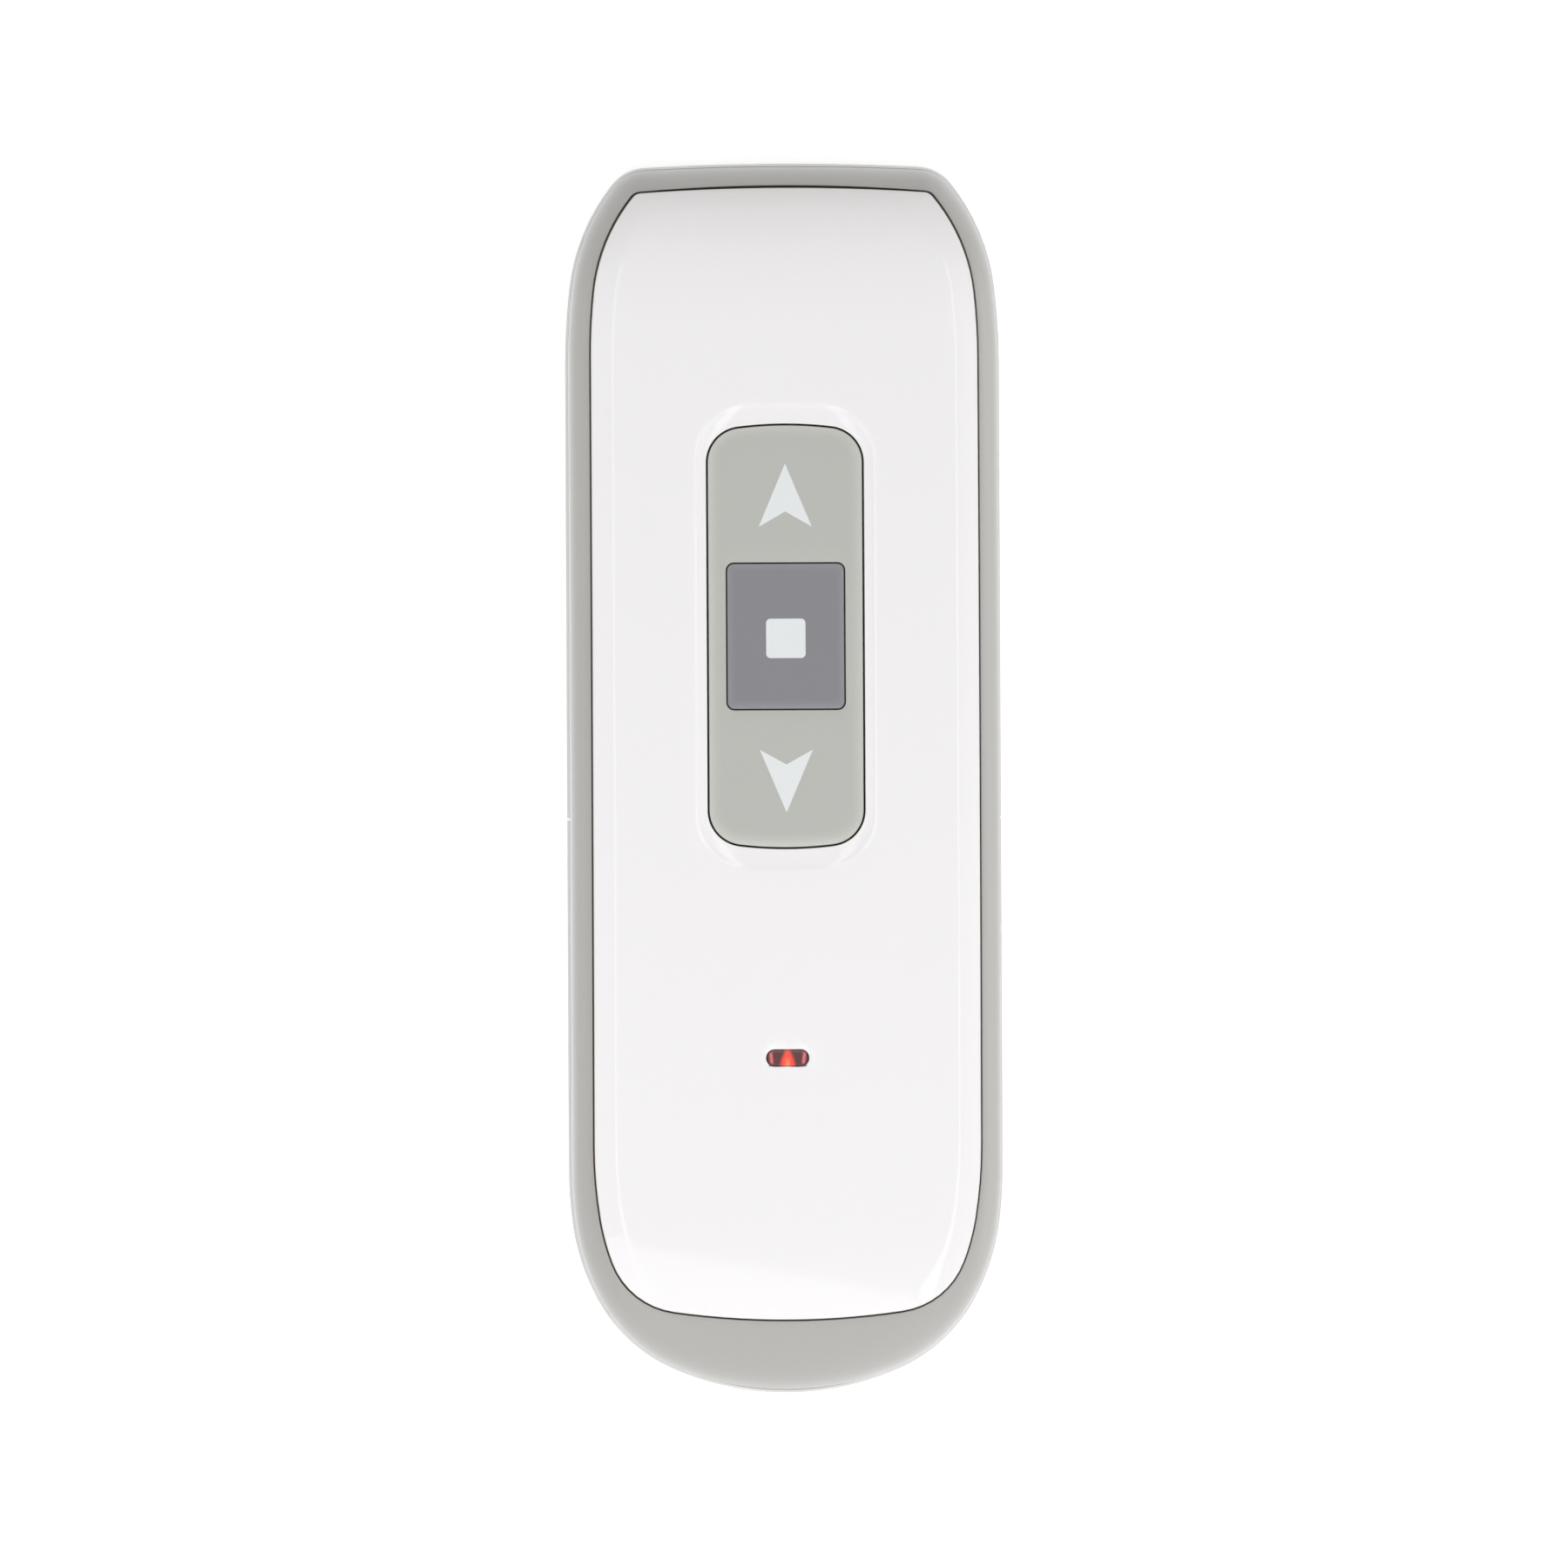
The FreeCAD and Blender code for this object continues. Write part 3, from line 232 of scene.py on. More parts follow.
def loftPiece(name, rings, ends="joined"):
    # A ring of points pulled on from place to place, then closed on itself or filled at both ends
    bpy.ops.object.select_all(action="DESELECT")
    bpy.ops.mesh.primitive_circle_add(vertices=len(rings[0]), radius=rim["halfWidth"] * mm)
    piece = bpy.context.object
    piece.name = piece.data.name = name
    bpy.ops.object.mode_set(mode="EDIT")
    loop = list(range(len(rings[0])))
    mesh = editMesh(piece)
    placeLoop(mesh, loop, rings[0])
    if ends == "filled":
        bpy.ops.mesh.edge_face_add()
        bpy.ops.mesh.select_all(action="SELECT")
        following = rings[1:]
    else:
        following = rings[1:] + rings[:1]
    for ring in following:
        bpy.ops.mesh.extrude_edges_move()
        mesh = editMesh(piece)
        loop = nextLoop(mesh, loop)
        placeLoop(mesh, loop, ring)
    if ends == "filled":
        bpy.ops.mesh.edge_face_add()
    bmesh.update_edit_mesh(piece.data)
    bpy.ops.mesh.select_all(action="SELECT")
    bpy.ops.mesh.remove_doubles(threshold=weld)
    bpy.ops.mesh.normals_make_consistent(inside=False)
    bpy.ops.object.mode_set(mode="OBJECT")
    bpy.ops.object.shade_smooth_by_angle(angle=math.radians(softAngle))
    return piece


def cutWith(piece, cutter):
    # A boolean cut, applied, and the cutter thrown away
    bpy.ops.object.select_all(action="DESELECT")
    piece.select_set(True)
    bpy.context.view_layer.objects.active = piece
    cut = piece.modifiers.new("cut", "BOOLEAN")
    cut.operation = "DIFFERENCE"
    cut.solver = "EXACT"
    cut.object = cutter
    bpy.ops.object.modifier_apply(modifier=cut.name)
    bpy.data.objects.remove(cutter)


def smoothCopy(node, name, angle):
    # A CAD node's mesh, merged, with soft normals over its narrow bands
    bpy.ops.object.select_all(action="DESELECT")
    piece = bpy.data.objects.new(name, nodes[node].data.copy())
    bpy.context.scene.collection.objects.link(piece)
    piece.data.name = name
    piece.select_set(True)
    bpy.context.view_layer.objects.active = piece
    bpy.ops.object.mode_set(mode="EDIT")
    bpy.ops.mesh.select_all(action="SELECT")
    bpy.ops.mesh.remove_doubles(threshold=weld)
    bpy.ops.mesh.dissolve_limited(angle_limit=math.radians(flatAngle))
    bpy.ops.object.mode_set(mode="OBJECT")
    bpy.ops.object.shade_smooth_by_angle(angle=math.radians(angle))
    weighted = piece.modifiers.new("weighted", "WEIGHTED_NORMAL")
    weighted.keep_sharp = True
    bpy.ops.object.modifier_apply(modifier=weighted.name)
    return piece


# The finishes

def tint(red, green, blue):
    # A colour as read off a screen, turned to scene colour
    channels = []
    for value in (red, green, blue):
        share = value / 255.0
        channels.append(share / 12.92 if share < 0.04045 else ((share + 0.055) / 1.055) ** 2.4)
    return (*channels, 1.0)


def addNode(tree, kind, **settings):
    node = tree.nodes.new(kind)
    for name, value in settings.items():
        setattr(node, name, value)
    return node


def newGroup(name, inputs, outputs):
    group = bpy.data.node_groups.new(name, "ShaderNodeTree")
    for label, kind, value in inputs:
        socket = group.interface.new_socket(name=label, in_out="INPUT", socket_type=kind)
        socket.default_value = value
    for label, kind in outputs:
        group.interface.new_socket(name=label, in_out="OUTPUT", socket_type=kind)
    return group, addNode(group, "NodeGroupInput"), addNode(group, "NodeGroupOutput")


def joinNodes(tree, *pairs):
    for source, target in pairs:
        tree.links.new(source, target)


def mathNode(tree, operation, first, second=None):
    node = addNode(tree, "ShaderNodeMath", operation=operation)
    for socket, value in zip(node.inputs, (first, second)):
        if value is None:
            continue
        if isinstance(value, (int, float)):
            socket.default_value = value
        else:
            tree.links.new(value, socket)
    return node.outputs["Value"]


# Which sockets of a colour mix take its factor and colours and give its result
mixSocket = {"factor": 0, "first": 6, "second": 7, "result": 2}
moulding = {"cloudScale": 45.0, "cloudDetail": 3.0, "grainDetail": 2.0, "grainHeight": 0.00002,
            "touchScale": 130.0, "touchDetail": 5.0, "paintedHighlightGain": 0.24,
            "paintedSeamShade": (0.37, 0.29, 0.22, 1.0)}


def buildMouldedGroup():
    # Moulded plastic: a fine grain, faint cloudiness of the colour and finger-worn gloss. The
    # painted light on the mesh's points paints highlights along its edges and painted shade into
    # its seams.
    group, taken, given = newGroup(
        "mouldedPlastic",
        (("Color", "NodeSocketColor", (0.5, 0.5, 0.5, 1.0)), ("Cloud", "NodeSocketFloat", 0.03),
         ("Grain Scale", "NodeSocketFloat", 3000.0), ("Grain Depth", "NodeSocketFloat", 0.1),
         ("Roughness", "NodeSocketFloat", 0.4), ("Roughness Spread", "NodeSocketFloat", 0.08)),
        (("Color", "NodeSocketColor"), ("Roughness", "NodeSocketFloat"),
         ("Normal", "NodeSocketVector")))
    place = addNode(group, "ShaderNodeTexCoord").outputs["Object"]
    cloud = addNode(group, "ShaderNodeTexNoise")
    cloud.inputs["Scale"].default_value = moulding["cloudScale"]
    cloud.inputs["Detail"].default_value = moulding["cloudDetail"]
    grain = addNode(group, "ShaderNodeTexNoise")
    grain.inputs["Detail"].default_value = moulding["grainDetail"]
    touch = addNode(group, "ShaderNodeTexNoise")
    touch.inputs["Scale"].default_value = moulding["touchScale"]
    touch.inputs["Detail"].default_value = moulding["touchDetail"]
    joinNodes(group, (place, cloud.inputs["Vector"]), (place, grain.inputs["Vector"]),
              (place, touch.inputs["Vector"]),
              (taken.outputs["Grain Scale"], grain.inputs["Scale"]))
    paintedLight = addNode(group, "ShaderNodeAttribute", attribute_name="paintedLight").outputs["Fac"]
    swing = mathNode(group, "MULTIPLY", mathNode(group, "SUBTRACT", cloud.outputs["Fac"], 0.5),
                     taken.outputs["Cloud"])
    # Painted highlight: a positive painted light lifts the colour
    pale = mathNode(group, "MULTIPLY", mathNode(group, "MAXIMUM", paintedLight, 0.0), moulding["paintedHighlightGain"])
    level = mathNode(group, "ADD", mathNode(group, "ADD", swing, pale), 1.0)
    shade = addNode(group, "ShaderNodeVectorMath", operation="SCALE")
    # Painted shade: a negative painted light pulls the colour towards a warm dark in the seam mix
    deep = mathNode(group, "MAXIMUM", mathNode(group, "MULTIPLY", paintedLight, -1.0), 0.0)
    seam = addNode(group, "ShaderNodeMix", data_type="RGBA", blend_type="MULTIPLY")
    seam.inputs[mixSocket["second"]].default_value = moulding["paintedSeamShade"]
    joinNodes(group, (taken.outputs["Color"], shade.inputs[0]), (level, shade.inputs["Scale"]),
              (deep, seam.inputs[mixSocket["factor"]]),
              (shade.outputs["Vector"], seam.inputs[mixSocket["first"]]),
              (seam.outputs[mixSocket["result"]], given.inputs["Color"]))
    spread = mathNode(group, "MULTIPLY", mathNode(group, "SUBTRACT", touch.outputs["Fac"], 0.5),
                      taken.outputs["Roughness Spread"])
    roughness = mathNode(group, "ADD", taken.outputs["Roughness"], spread)
    joinNodes(group, (roughness, given.inputs["Roughness"]))
    bump = addNode(group, "ShaderNodeBump")
    bump.inputs["Distance"].default_value = moulding["grainHeight"]
    joinNodes(group, (grain.outputs["Fac"], bump.inputs["Height"]),
              (taken.outputs["Grain Depth"], bump.inputs["Strength"]),
              (bump.outputs["Normal"], given.inputs["Normal"]))
    return group


rolling = {"lineDetail": 3.0, "lineHeight": 0.00002, "lineWear": 0.25, "stainScale": 260.0,
           "stainDetail": 4.0}


def buildMetalGroup():
    # Rolled or plated metal: lines along one way, roughness that follows them and faint stains
    group, taken, given = newGroup(
        "rolledMetal",
        (("Color", "NodeSocketColor", (0.6, 0.6, 0.6, 1.0)),
         ("Line Scale", "NodeSocketVector", (200.0, 6000.0, 200.0)),
         ("Line Depth", "NodeSocketFloat", 0.15), ("Roughness", "NodeSocketFloat", 0.3),
         ("Stain", "NodeSocketFloat", 0.1)),
        (("Color", "NodeSocketColor"), ("Roughness", "NodeSocketFloat"),
         ("Normal", "NodeSocketVector")))
    place = addNode(group, "ShaderNodeTexCoord").outputs["Object"]
    stretch = addNode(group, "ShaderNodeVectorMath", operation="MULTIPLY")
    lines = addNode(group, "ShaderNodeTexNoise")
    lines.inputs["Scale"].default_value = 1.0
    lines.inputs["Detail"].default_value = rolling["lineDetail"]
    stain = addNode(group, "ShaderNodeTexNoise")
    stain.inputs["Scale"].default_value = rolling["stainScale"]
    stain.inputs["Detail"].default_value = rolling["stainDetail"]
    joinNodes(group, (place, stretch.inputs[0]), (taken.outputs["Line Scale"], stretch.inputs[1]),
              (stretch.outputs["Vector"], lines.inputs["Vector"]), (place, stain.inputs["Vector"]))
    swing = mathNode(group, "MULTIPLY", mathNode(group, "SUBTRACT", stain.outputs["Fac"], 0.5),
                     taken.outputs["Stain"])
    shade = addNode(group, "ShaderNodeVectorMath", operation="SCALE")
    joinNodes(group, (taken.outputs["Color"], shade.inputs[0]),
              (mathNode(group, "ADD", swing, 1.0), shade.inputs["Scale"]),
              (shade.outputs["Vector"], given.inputs["Color"]))
    wear = mathNode(group, "MULTIPLY", mathNode(group, "SUBTRACT", lines.outputs["Fac"], 0.5),
                    rolling["lineWear"])
    roughness = mathNode(group, "ADD", taken.outputs["Roughness"], wear)
    joinNodes(group, (roughness, given.inputs["Roughness"]))
    bump = addNode(group, "ShaderNodeBump")
    bump.inputs["Distance"].default_value = rolling["lineHeight"]
    joinNodes(group, (lines.outputs["Fac"], bump.inputs["Height"]),
              (taken.outputs["Line Depth"], bump.inputs["Strength"]),
              (bump.outputs["Normal"], given.inputs["Normal"]))
    return group


mouldedPlastic = buildMouldedGroup()
rolledMetal = buildMetalGroup()


def newMaterial(name):
    material = bpy.data.materials.new(name)
    material.use_nodes = True
    return material, material.node_tree, material.node_tree.nodes["Principled BSDF"]


def setInputs(node, values):
    for name, value in values.items():
        node.inputs[name].default_value = value


def placeGroup(tree, group, values):
    node = addNode(tree, "ShaderNodeGroup", node_tree=group)
    setInputs(node, values)
    return node


def finishedMaterial(name, group, finish, extra):
    # One of the two finishes on a plain shader, with values of the shader's own
    material, tree, shader = newMaterial(name)
    finish = placeGroup(tree, group, finish)
    joinNodes(tree, (finish.outputs["Color"], shader.inputs["Base Color"]),
              (finish.outputs["Roughness"], shader.inputs["Roughness"]),
              (finish.outputs["Normal"], shader.inputs["Normal"]))
    setInputs(shader, extra)
    return material


plasticLooks = {
    "whiteGloss": {"finish": {"Color": tint(243, 241, 242), "Cloud": 0.012, "Grain Scale": 900.0,
                              "Grain Depth": 0.01, "Roughness": 0.035, "Roughness Spread": 0.02}},
    "whiteBack": {"finish": {"Color": tint(232, 231, 230), "Cloud": 0.012, "Grain Scale": 900.0,
                             "Grain Depth": 0.02, "Roughness": 0.12, "Roughness Spread": 0.04}},
    "greySatin": {"finish": {"Color": tint(170, 168, 164), "Cloud": 0.03, "Grain Scale": 4200.0,
                             "Grain Depth": 0.25, "Roughness": 0.42, "Roughness Spread": 0.08},
                  "shader": {"Sheen Weight": 1.0, "Sheen Roughness": 0.5}},
    "keyGrey": {"finish": {"Color": tint(182, 183, 177), "Cloud": 0.03, "Grain Scale": 5200.0,
                           "Grain Depth": 0.18, "Roughness": 0.5, "Roughness Spread": 0.08}},
    "keyDark": {"finish": {"Color": tint(126, 126, 131), "Cloud": 0.04, "Grain Scale": 5200.0,
                           "Grain Depth": 0.18, "Roughness": 0.5, "Roughness Spread": 0.08}},
    "printWhite": {"finish": {"Color": tint(228, 231, 232), "Cloud": 0.02, "Grain Scale": 7000.0,
                              "Grain Depth": 0.1, "Roughness": 0.45, "Roughness Spread": 0.06}},
    "silicone": {"finish": {"Color": tint(205, 207, 204), "Cloud": 0.05, "Grain Scale": 2600.0,
                            "Grain Depth": 0.2, "Roughness": 0.55, "Roughness Spread": 0.1},
                 "shader": {"Subsurface Weight": 0.2, "Subsurface Scale": 0.001}},
    "carbon": {"finish": {"Color": tint(32, 32, 34), "Cloud": 0.2, "Grain Scale": 6000.0,
                          "Grain Depth": 0.4, "Roughness": 0.7, "Roughness Spread": 0.1}},
    "ledBody": {"finish": {"Color": tint(236, 226, 206), "Cloud": 0.04, "Grain Scale": 3000.0,
                           "Grain Depth": 0.05, "Roughness": 0.3, "Roughness Spread": 0.05}},
    "holderBlack": {"finish": {"Color": tint(42, 43, 45), "Cloud": 0.12, "Grain Scale": 3600.0,
                               "Grain Depth": 0.3, "Roughness": 0.5, "Roughness Spread": 0.12}},
    "chipBlack": {"finish": {"Color": tint(38, 38, 40), "Cloud": 0.15, "Grain Scale": 9000.0,
                             "Grain Depth": 0.35, "Roughness": 0.6, "Roughness Spread": 0.08}},
    "chipCeramic": {"finish": {"Color": tint(138, 112, 84), "Cloud": 0.1, "Grain Scale": 9000.0,
                               "Grain Depth": 0.1, "Roughness": 0.4, "Roughness Spread": 0.08}},
    "stemDark": {"finish": {"Color": tint(58, 58, 62), "Cloud": 0.1, "Grain Scale": 3600.0,
                            "Grain Depth": 0.15, "Roughness": 0.4, "Roughness Spread": 0.08}},
    "buttonGrey": {"finish": {"Color": tint(176, 176, 172), "Cloud": 0.04, "Grain Scale": 4200.0,
                              "Grain Depth": 0.2, "Roughness": 0.45, "Roughness Spread": 0.08}},
}
metalLooks = {
    "goldPlate": {"Color": tint(228, 188, 108), "Roughness": 0.32, "Stain": 0.15},
    "screwSteel": {"Color": tint(178, 180, 182), "Roughness": 0.3, "Stain": 0.15},
    "cellSteel": {"Color": tint(205, 206, 208), "Roughness": 0.24, "Stain": 0.08},
    "springNickel": {"Color": tint(200, 196, 186), "Roughness": 0.28, "Stain": 0.1},
    "canSteel": {"Color": tint(196, 198, 202), "Roughness": 0.26, "Stain": 0.08},
    "antennaTin": {"Color": tint(206, 206, 204), "Roughness": 0.34, "Stain": 0.12},
    "switchMetal": {"Color": tint(188, 190, 194), "Roughness": 0.3, "Stain": 0.1},
}
materials = {name: finishedMaterial(name, mouldedPlastic, look["finish"], look.get("shader", {}))
             for name, look in plasticLooks.items()}
materials.update({name: finishedMaterial(name, rolledMetal, look, {"Metallic": 1.0})
                  for name, look in metalLooks.items()})


boardLook = {"tracks": {"Color1": tint(34, 92, 58), "Color2": tint(30, 84, 54),
                        "Mortar": tint(58, 122, 78), "Scale": 420.0, "Mortar Size": 0.06,
                        "Mortar Smooth": 0.2, "Brick Width": 2.6, "Row Height": 0.7},
             "finish": {"Cloud": 0.12, "Grain Scale": 2200.0, "Grain Depth": 0.1, "Roughness": 0.3,
                        "Roughness Spread": 0.1},
             "relief": {"Distance": 0.00003, "Strength": 0.5}}


def boardMaterial():
    # Green solder mask over faint copper tracks
    material, tree, shader = newMaterial("boardGreen")
    place = addNode(tree, "ShaderNodeTexCoord").outputs["Object"]
    tracks = addNode(tree, "ShaderNodeTexBrick", offset=0.37, squash=0.6, squash_frequency=3)
    setInputs(tracks, boardLook["tracks"])
    finish = placeGroup(tree, mouldedPlastic, boardLook["finish"])
    bump = addNode(tree, "ShaderNodeBump")
    setInputs(bump, boardLook["relief"])
    joinNodes(tree, (place, tracks.inputs["Vector"]),
              (tracks.outputs["Color"], finish.inputs["Color"]),
              (finish.outputs["Color"], shader.inputs["Base Color"]),
              (finish.outputs["Roughness"], shader.inputs["Roughness"]),
              (tracks.outputs["Fac"], bump.inputs["Height"]),
              (finish.outputs["Normal"], bump.inputs["Normal"]),
              (bump.outputs["Normal"], shader.inputs["Normal"]))
    return material


materials["boardGreen"] = boardMaterial()
print("materials made", len(materials))


def dress(piece, material, body=None, node=None):
    # Material, material slot, body and the CAD node that a piece stands for
    piece.data.materials.clear()
    piece.data.materials.append(materials[material])
    if body:
        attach(piece, body)
    if node:
        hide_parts(node)


# The pieces that stay as the CAD has them
nodeFinishes = {
    "circuit_board": "boardGreen", "keypad_mat": "silicone", "contact_pills": "carbon",
    "key_contacts": "goldPlate", "status_led": "ledBody", "case_screws": "screwSteel",
    "cell_holder": "holderBlack", "coin_cell": "cellSteel", "negative_contact": "springNickel",
    "positive_contact": "springNickel", "microcontroller": "chipBlack", "radio_chip": "chipBlack",
    "crystal": "canSteel", "antenna": "antennaTin", "chip_components": "chipCeramic",
    "pair_switch": "switchMetal", "switch_stem": "stemDark", "pair_button": "buttonGrey",
}
for name, finish in nodeFinishes.items():
    dress(nodes[name], finish)


# The white faceplate, with a soft dish round the key pad
facePlate = {"seam": 0.075, "proud": 0.25, "under": 1.35, "edge": 0.15, "edgeSteps": 5,
             "dishAcross": 1.1, "dishAlong": 2.3, "dishDepth": 0.19, "dishLip": 0.35,
             "dishBands": 14, "floorBands": 12, "openingSeam": 0.08, "openingEdge": 0.1,
             "openingSteps": 3, "windowEdge": 0.07, "windowSteps": 2,
             "crease": 2.1, "creasePaintedHighlight": 0.65, "creaseCorners": (1.2, 5.4), "lean": 0.36,
             "sideInsets": (0.3, 0.5, 0.7, 0.9, 1.1), "sideShares": (0.22, 0.43, 0.63, 0.82, 1.0),
             "faceBands": 30, "faceCrowding": 1.2,
             "sinkStart": 49.5, "sinkLength": 9.0, "sink": 0.2, "sinkPaintedShade": 0.17}
pad = {"centre": 14.03, "length": 41.9, "width": 15.43, "corner": 3.5, "endRadius": 38.0}
stop = {"length": 14.5, "width": 11.7, "corner": 0.75}
lens = {"centre": -27.67, "length": 4.2, "width": 1.66, "corner": 0.82, "seam": 0.03, "top": -0.2,
        "depth": 1.8, "edge": 0.18, "edgeSteps": 4, "topBands": 4, "ridge": 0.5, "cut": (5.0, 20.0)}

# The plate's top end is a little flatter than its pocket's, so the seam widens in the middle
plateBody = dict(plate, top=dict(plate["top"], reach=58.55, radii=(61.0, 18.2, 1.2, 205.0)))


def insetEnd(end, inset, corner):
    # The same end further inside, with a corner of its own
    side, shoulder, _, last = end["radii"]
    return dict(end, reach=end["reach"] - inset, shoulder=end["shoulder"] - inset,
                radii=(side - inset, shoulder - inset, corner, last - inset))


creaseLine = {"halfWidth": plate["halfWidth"] - facePlate["crease"]}
for name, corner in zip(("top", "bottom"), facePlate["creaseCorners"]):
    creaseLine[name] = insetEnd(plateBody[name], facePlate["crease"], corner)


def onSide(ring, edgeDrops, inset, drop=0.0):
    # Outside its faint crease the plate leans down, by the whole edge drop where it meets the frame
    share = 1.0 - inset / facePlate["crease"]
    lean = facePlate["lean"] * share + (1.0 - facePlate["lean"]) * share ** 2
    depth = drop - facePlate["proud"]
    # Painted shade, deeper down the edge's rounding towards the seam
    paintedLight = -drop / facePlate["edge"]
    return [(x, y, crownHeight(y, depth) - edgeDrop * lean, paintedLight)
            for (x, y), edgeDrop in zip(ring, edgeDrops)]


def sunkEnd(point):
    # The plate's top end sinks into its pocket and grows darker on the way, by painted shade
    x, y, z, paintedLight = point
    share = max(0.0, (y - facePlate["sinkStart"]) / facePlate["sinkLength"]) ** 2
    return (x, y, z - facePlate["sink"] * share, min(paintedLight, -facePlate["sinkPaintedShade"] * share))


def padRing(grow):
    return slabRing(pad["width"] + 2 * grow, pad["length"] + 2 * grow, pad["corner"] + grow,
                    pad["endRadius"] + grow, pad["centre"])


def stopRing(grow):
    # The corner stays round, however far in the ring lies
    corner = max(stop["corner"] + grow, stop["corner"] / 2.0)
    return slabRing(stop["width"] + 2 * grow, stop["length"] + 2 * grow, corner, 0.0, pad["centre"])


def onWindowEdge(place):
    # True on the upper rim of the light window's opening
    beside = 0.1
    slack = 0.02
    nearX = abs(place.x) < lens["length"] / 2.0 + beside
    nearY = abs(place.y - lens["centre"]) < lens["width"] / 2.0 + beside
    onTop = abs(place.z - crownHeight(place.y, -facePlate["proud"])) < slack
    return nearX and nearY and onTop


def makeFacePlate():
    top = -facePlate["proud"]
    seam = facePlate["seam"]
    under = facePlate["under"]
    outer = outlineRing(plateBody, seam)
    # The wall down in the seam carries full painted shade
    rings = [onCrown(outer, under, -1.0)]
    edgeDrops = [crownHeight(y, top) - formHeight(x, y, top) for x, y in outer]
    for inset, drop in filletSteps(facePlate["edge"], facePlate["edgeSteps"]):
        rings.append(onSide(outlineRing(plateBody, seam + inset), edgeDrops, inset, drop))
    for inset in facePlate["sideInsets"]:
        rings.append(onSide(outlineRing(plateBody, seam + inset), edgeDrops, inset))
    last = facePlate["sideInsets"][-1]
    inner = outlineRing(plateBody, seam + last)
    crease = outlineRing(creaseLine, seam)
    for share in facePlate["sideShares"]:
        inset = last + (facePlate["crease"] - last) * share
        # The crease ring itself carries a painted highlight
        paintedLight = facePlate["creasePaintedHighlight"] if share == 1.0 else 0.0
        ring = onSide(mixRings(inner, crease, share), edgeDrops, inset)
        rings.append([point[:3] + (paintedLight,) for point in ring])
    dish = slabRing(pad["width"] + 2 * facePlate["dishAcross"],
                    pad["length"] + 2 * facePlate["dishAlong"],
                    pad["corner"] + facePlate["dishAlong"], 0.0, pad["centre"])
    bands = facePlate["faceBands"]
    for step in range(1, bands + 1):
        share = (step / bands) ** facePlate["faceCrowding"]
        rings.append(onForm(mixRings(crease, dish, share), top))
    wall = facePlate["openingSeam"]
    opening = padRing(wall + facePlate["openingEdge"])
    lip = facePlate["dishLip"]
    bands = facePlate["dishBands"]
    for step in range(1, bands + 1):
        share = step / bands
        drop = lip * smoothShare(min(share / lip, 1.0)) + (1.0 - lip) * smoothShare(share)
        rings.append(onCrown(mixRings(dish, opening, share), top + facePlate["dishDepth"] * drop))
    # The opening's rounded edge and its wall carry painted shade, deepest down by the key
    for inset, drop in filletSteps(facePlate["openingEdge"], facePlate["openingSteps"])[::-1][1:]:
        rings.append(onCrown(padRing(wall + inset), top + facePlate["dishDepth"] + drop,
                             -drop / facePlate["openingEdge"]))
    rings.append(onCrown(padRing(wall), under, -1.0))
    bands = facePlate["floorBands"]
    for step in range(1, bands):
        rings.append(onCrown(mixRings(padRing(wall), outer, step / bands), under))
    rings = [[sunkEnd(point) for point in ring] for ring in rings]
    piece = loftPiece("facePlate", rings)
    window = slabRing(lens["length"] + 2 * lens["seam"], lens["width"] + 2 * lens["seam"],
                      lens["corner"] + lens["seam"], 0.0, lens["centre"])
    cutRings = [onLevel(window, height) for height in lens["cut"]]
    cutWith(piece, loftPiece("lensCutter", cutRings, ends="filled"))
    bpy.ops.object.mode_set(mode="EDIT")
    mesh = editMesh(piece)
    for edge in mesh.edges:
        edge.select_set(all(onWindowEdge(vert.co / mm) for vert in edge.verts))
    bpy.ops.mesh.bevel(offset=facePlate["windowEdge"] * mm, segments=facePlate["windowSteps"],
                       affect="EDGES")
    bpy.ops.object.mode_set(mode="OBJECT")
    bpy.ops.object.shade_smooth_by_angle(angle=math.radians(softAngle))
    return piece


dress(makeFacePlate(), "whiteGloss", "housing", "faceplate")
print("faceplate done")


# The grey frame, the upper half of the case
caseFrame = {"seam": 0.065, "seat": 1.4, "edge": 0.08, "edgeSteps": 3, "wall": 1.3, "roof": 2.4,
             "ledge": 1.0, "skirt": 2.0, "bands": 14}


def pocketDepth():
    # How far inside the rim the pocket's edge runs along the straight sides
    return rim["halfWidth"] - plate["halfWidth"] - caseFrame["seam"]


def makeCaseFrame():
    step = crown["rimStep"]
    wallRing = outlineRing(rim, step)
    pocket = outlineRing(plate, -caseFrame["seam"])
    edge = caseFrame["edge"]
    rings = [onLevel(wallRing, crown["partingHeight"]),
             onCrown(wallRing, crown["edgeRound"] + caseFrame["skirt"]),
             onCrown(wallRing, crown["edgeRound"])]
    band = outlineRing(plate, -caseFrame["seam"] - edge)
    reach = math.acos(1.0 - (pocketDepth() - step) / crown["edgeRound"])
    for number in range(1, caseFrame["bands"] + 1):
        share = (1.0 - math.cos(reach * number / caseFrame["bands"])) / (1.0 - math.cos(reach))
        rings.append(onForm(mixRings(wallRing, band, share), 0.0))
    # The pocket's rounded edge darkens with painted shade towards the seam
    for inset, drop in filletSteps(edge, caseFrame["edgeSteps"])[::-1][1:]:
        rings.append(onForm(outlineRing(plate, -caseFrame["seam"] - inset), drop, -drop / edge))
    ledge = outlineRing(plate, caseFrame["ledge"])
    inside = outlineRing(rim, step + caseFrame["wall"])
    # The pocket's wall and seat carry full painted shade
    rings += [onCrown(pocket, caseFrame["seat"], -1.0), onCrown(ledge, caseFrame["seat"], -1.0),
              onCrown(ledge, caseFrame["roof"]), onCrown(inside, caseFrame["roof"]),
              onLevel(inside, crown["partingHeight"])]
    return loftPiece("caseFrame", rings)


dress(makeCaseFrame(), "greySatin", "housing", "grip_frame")
print("frame done")


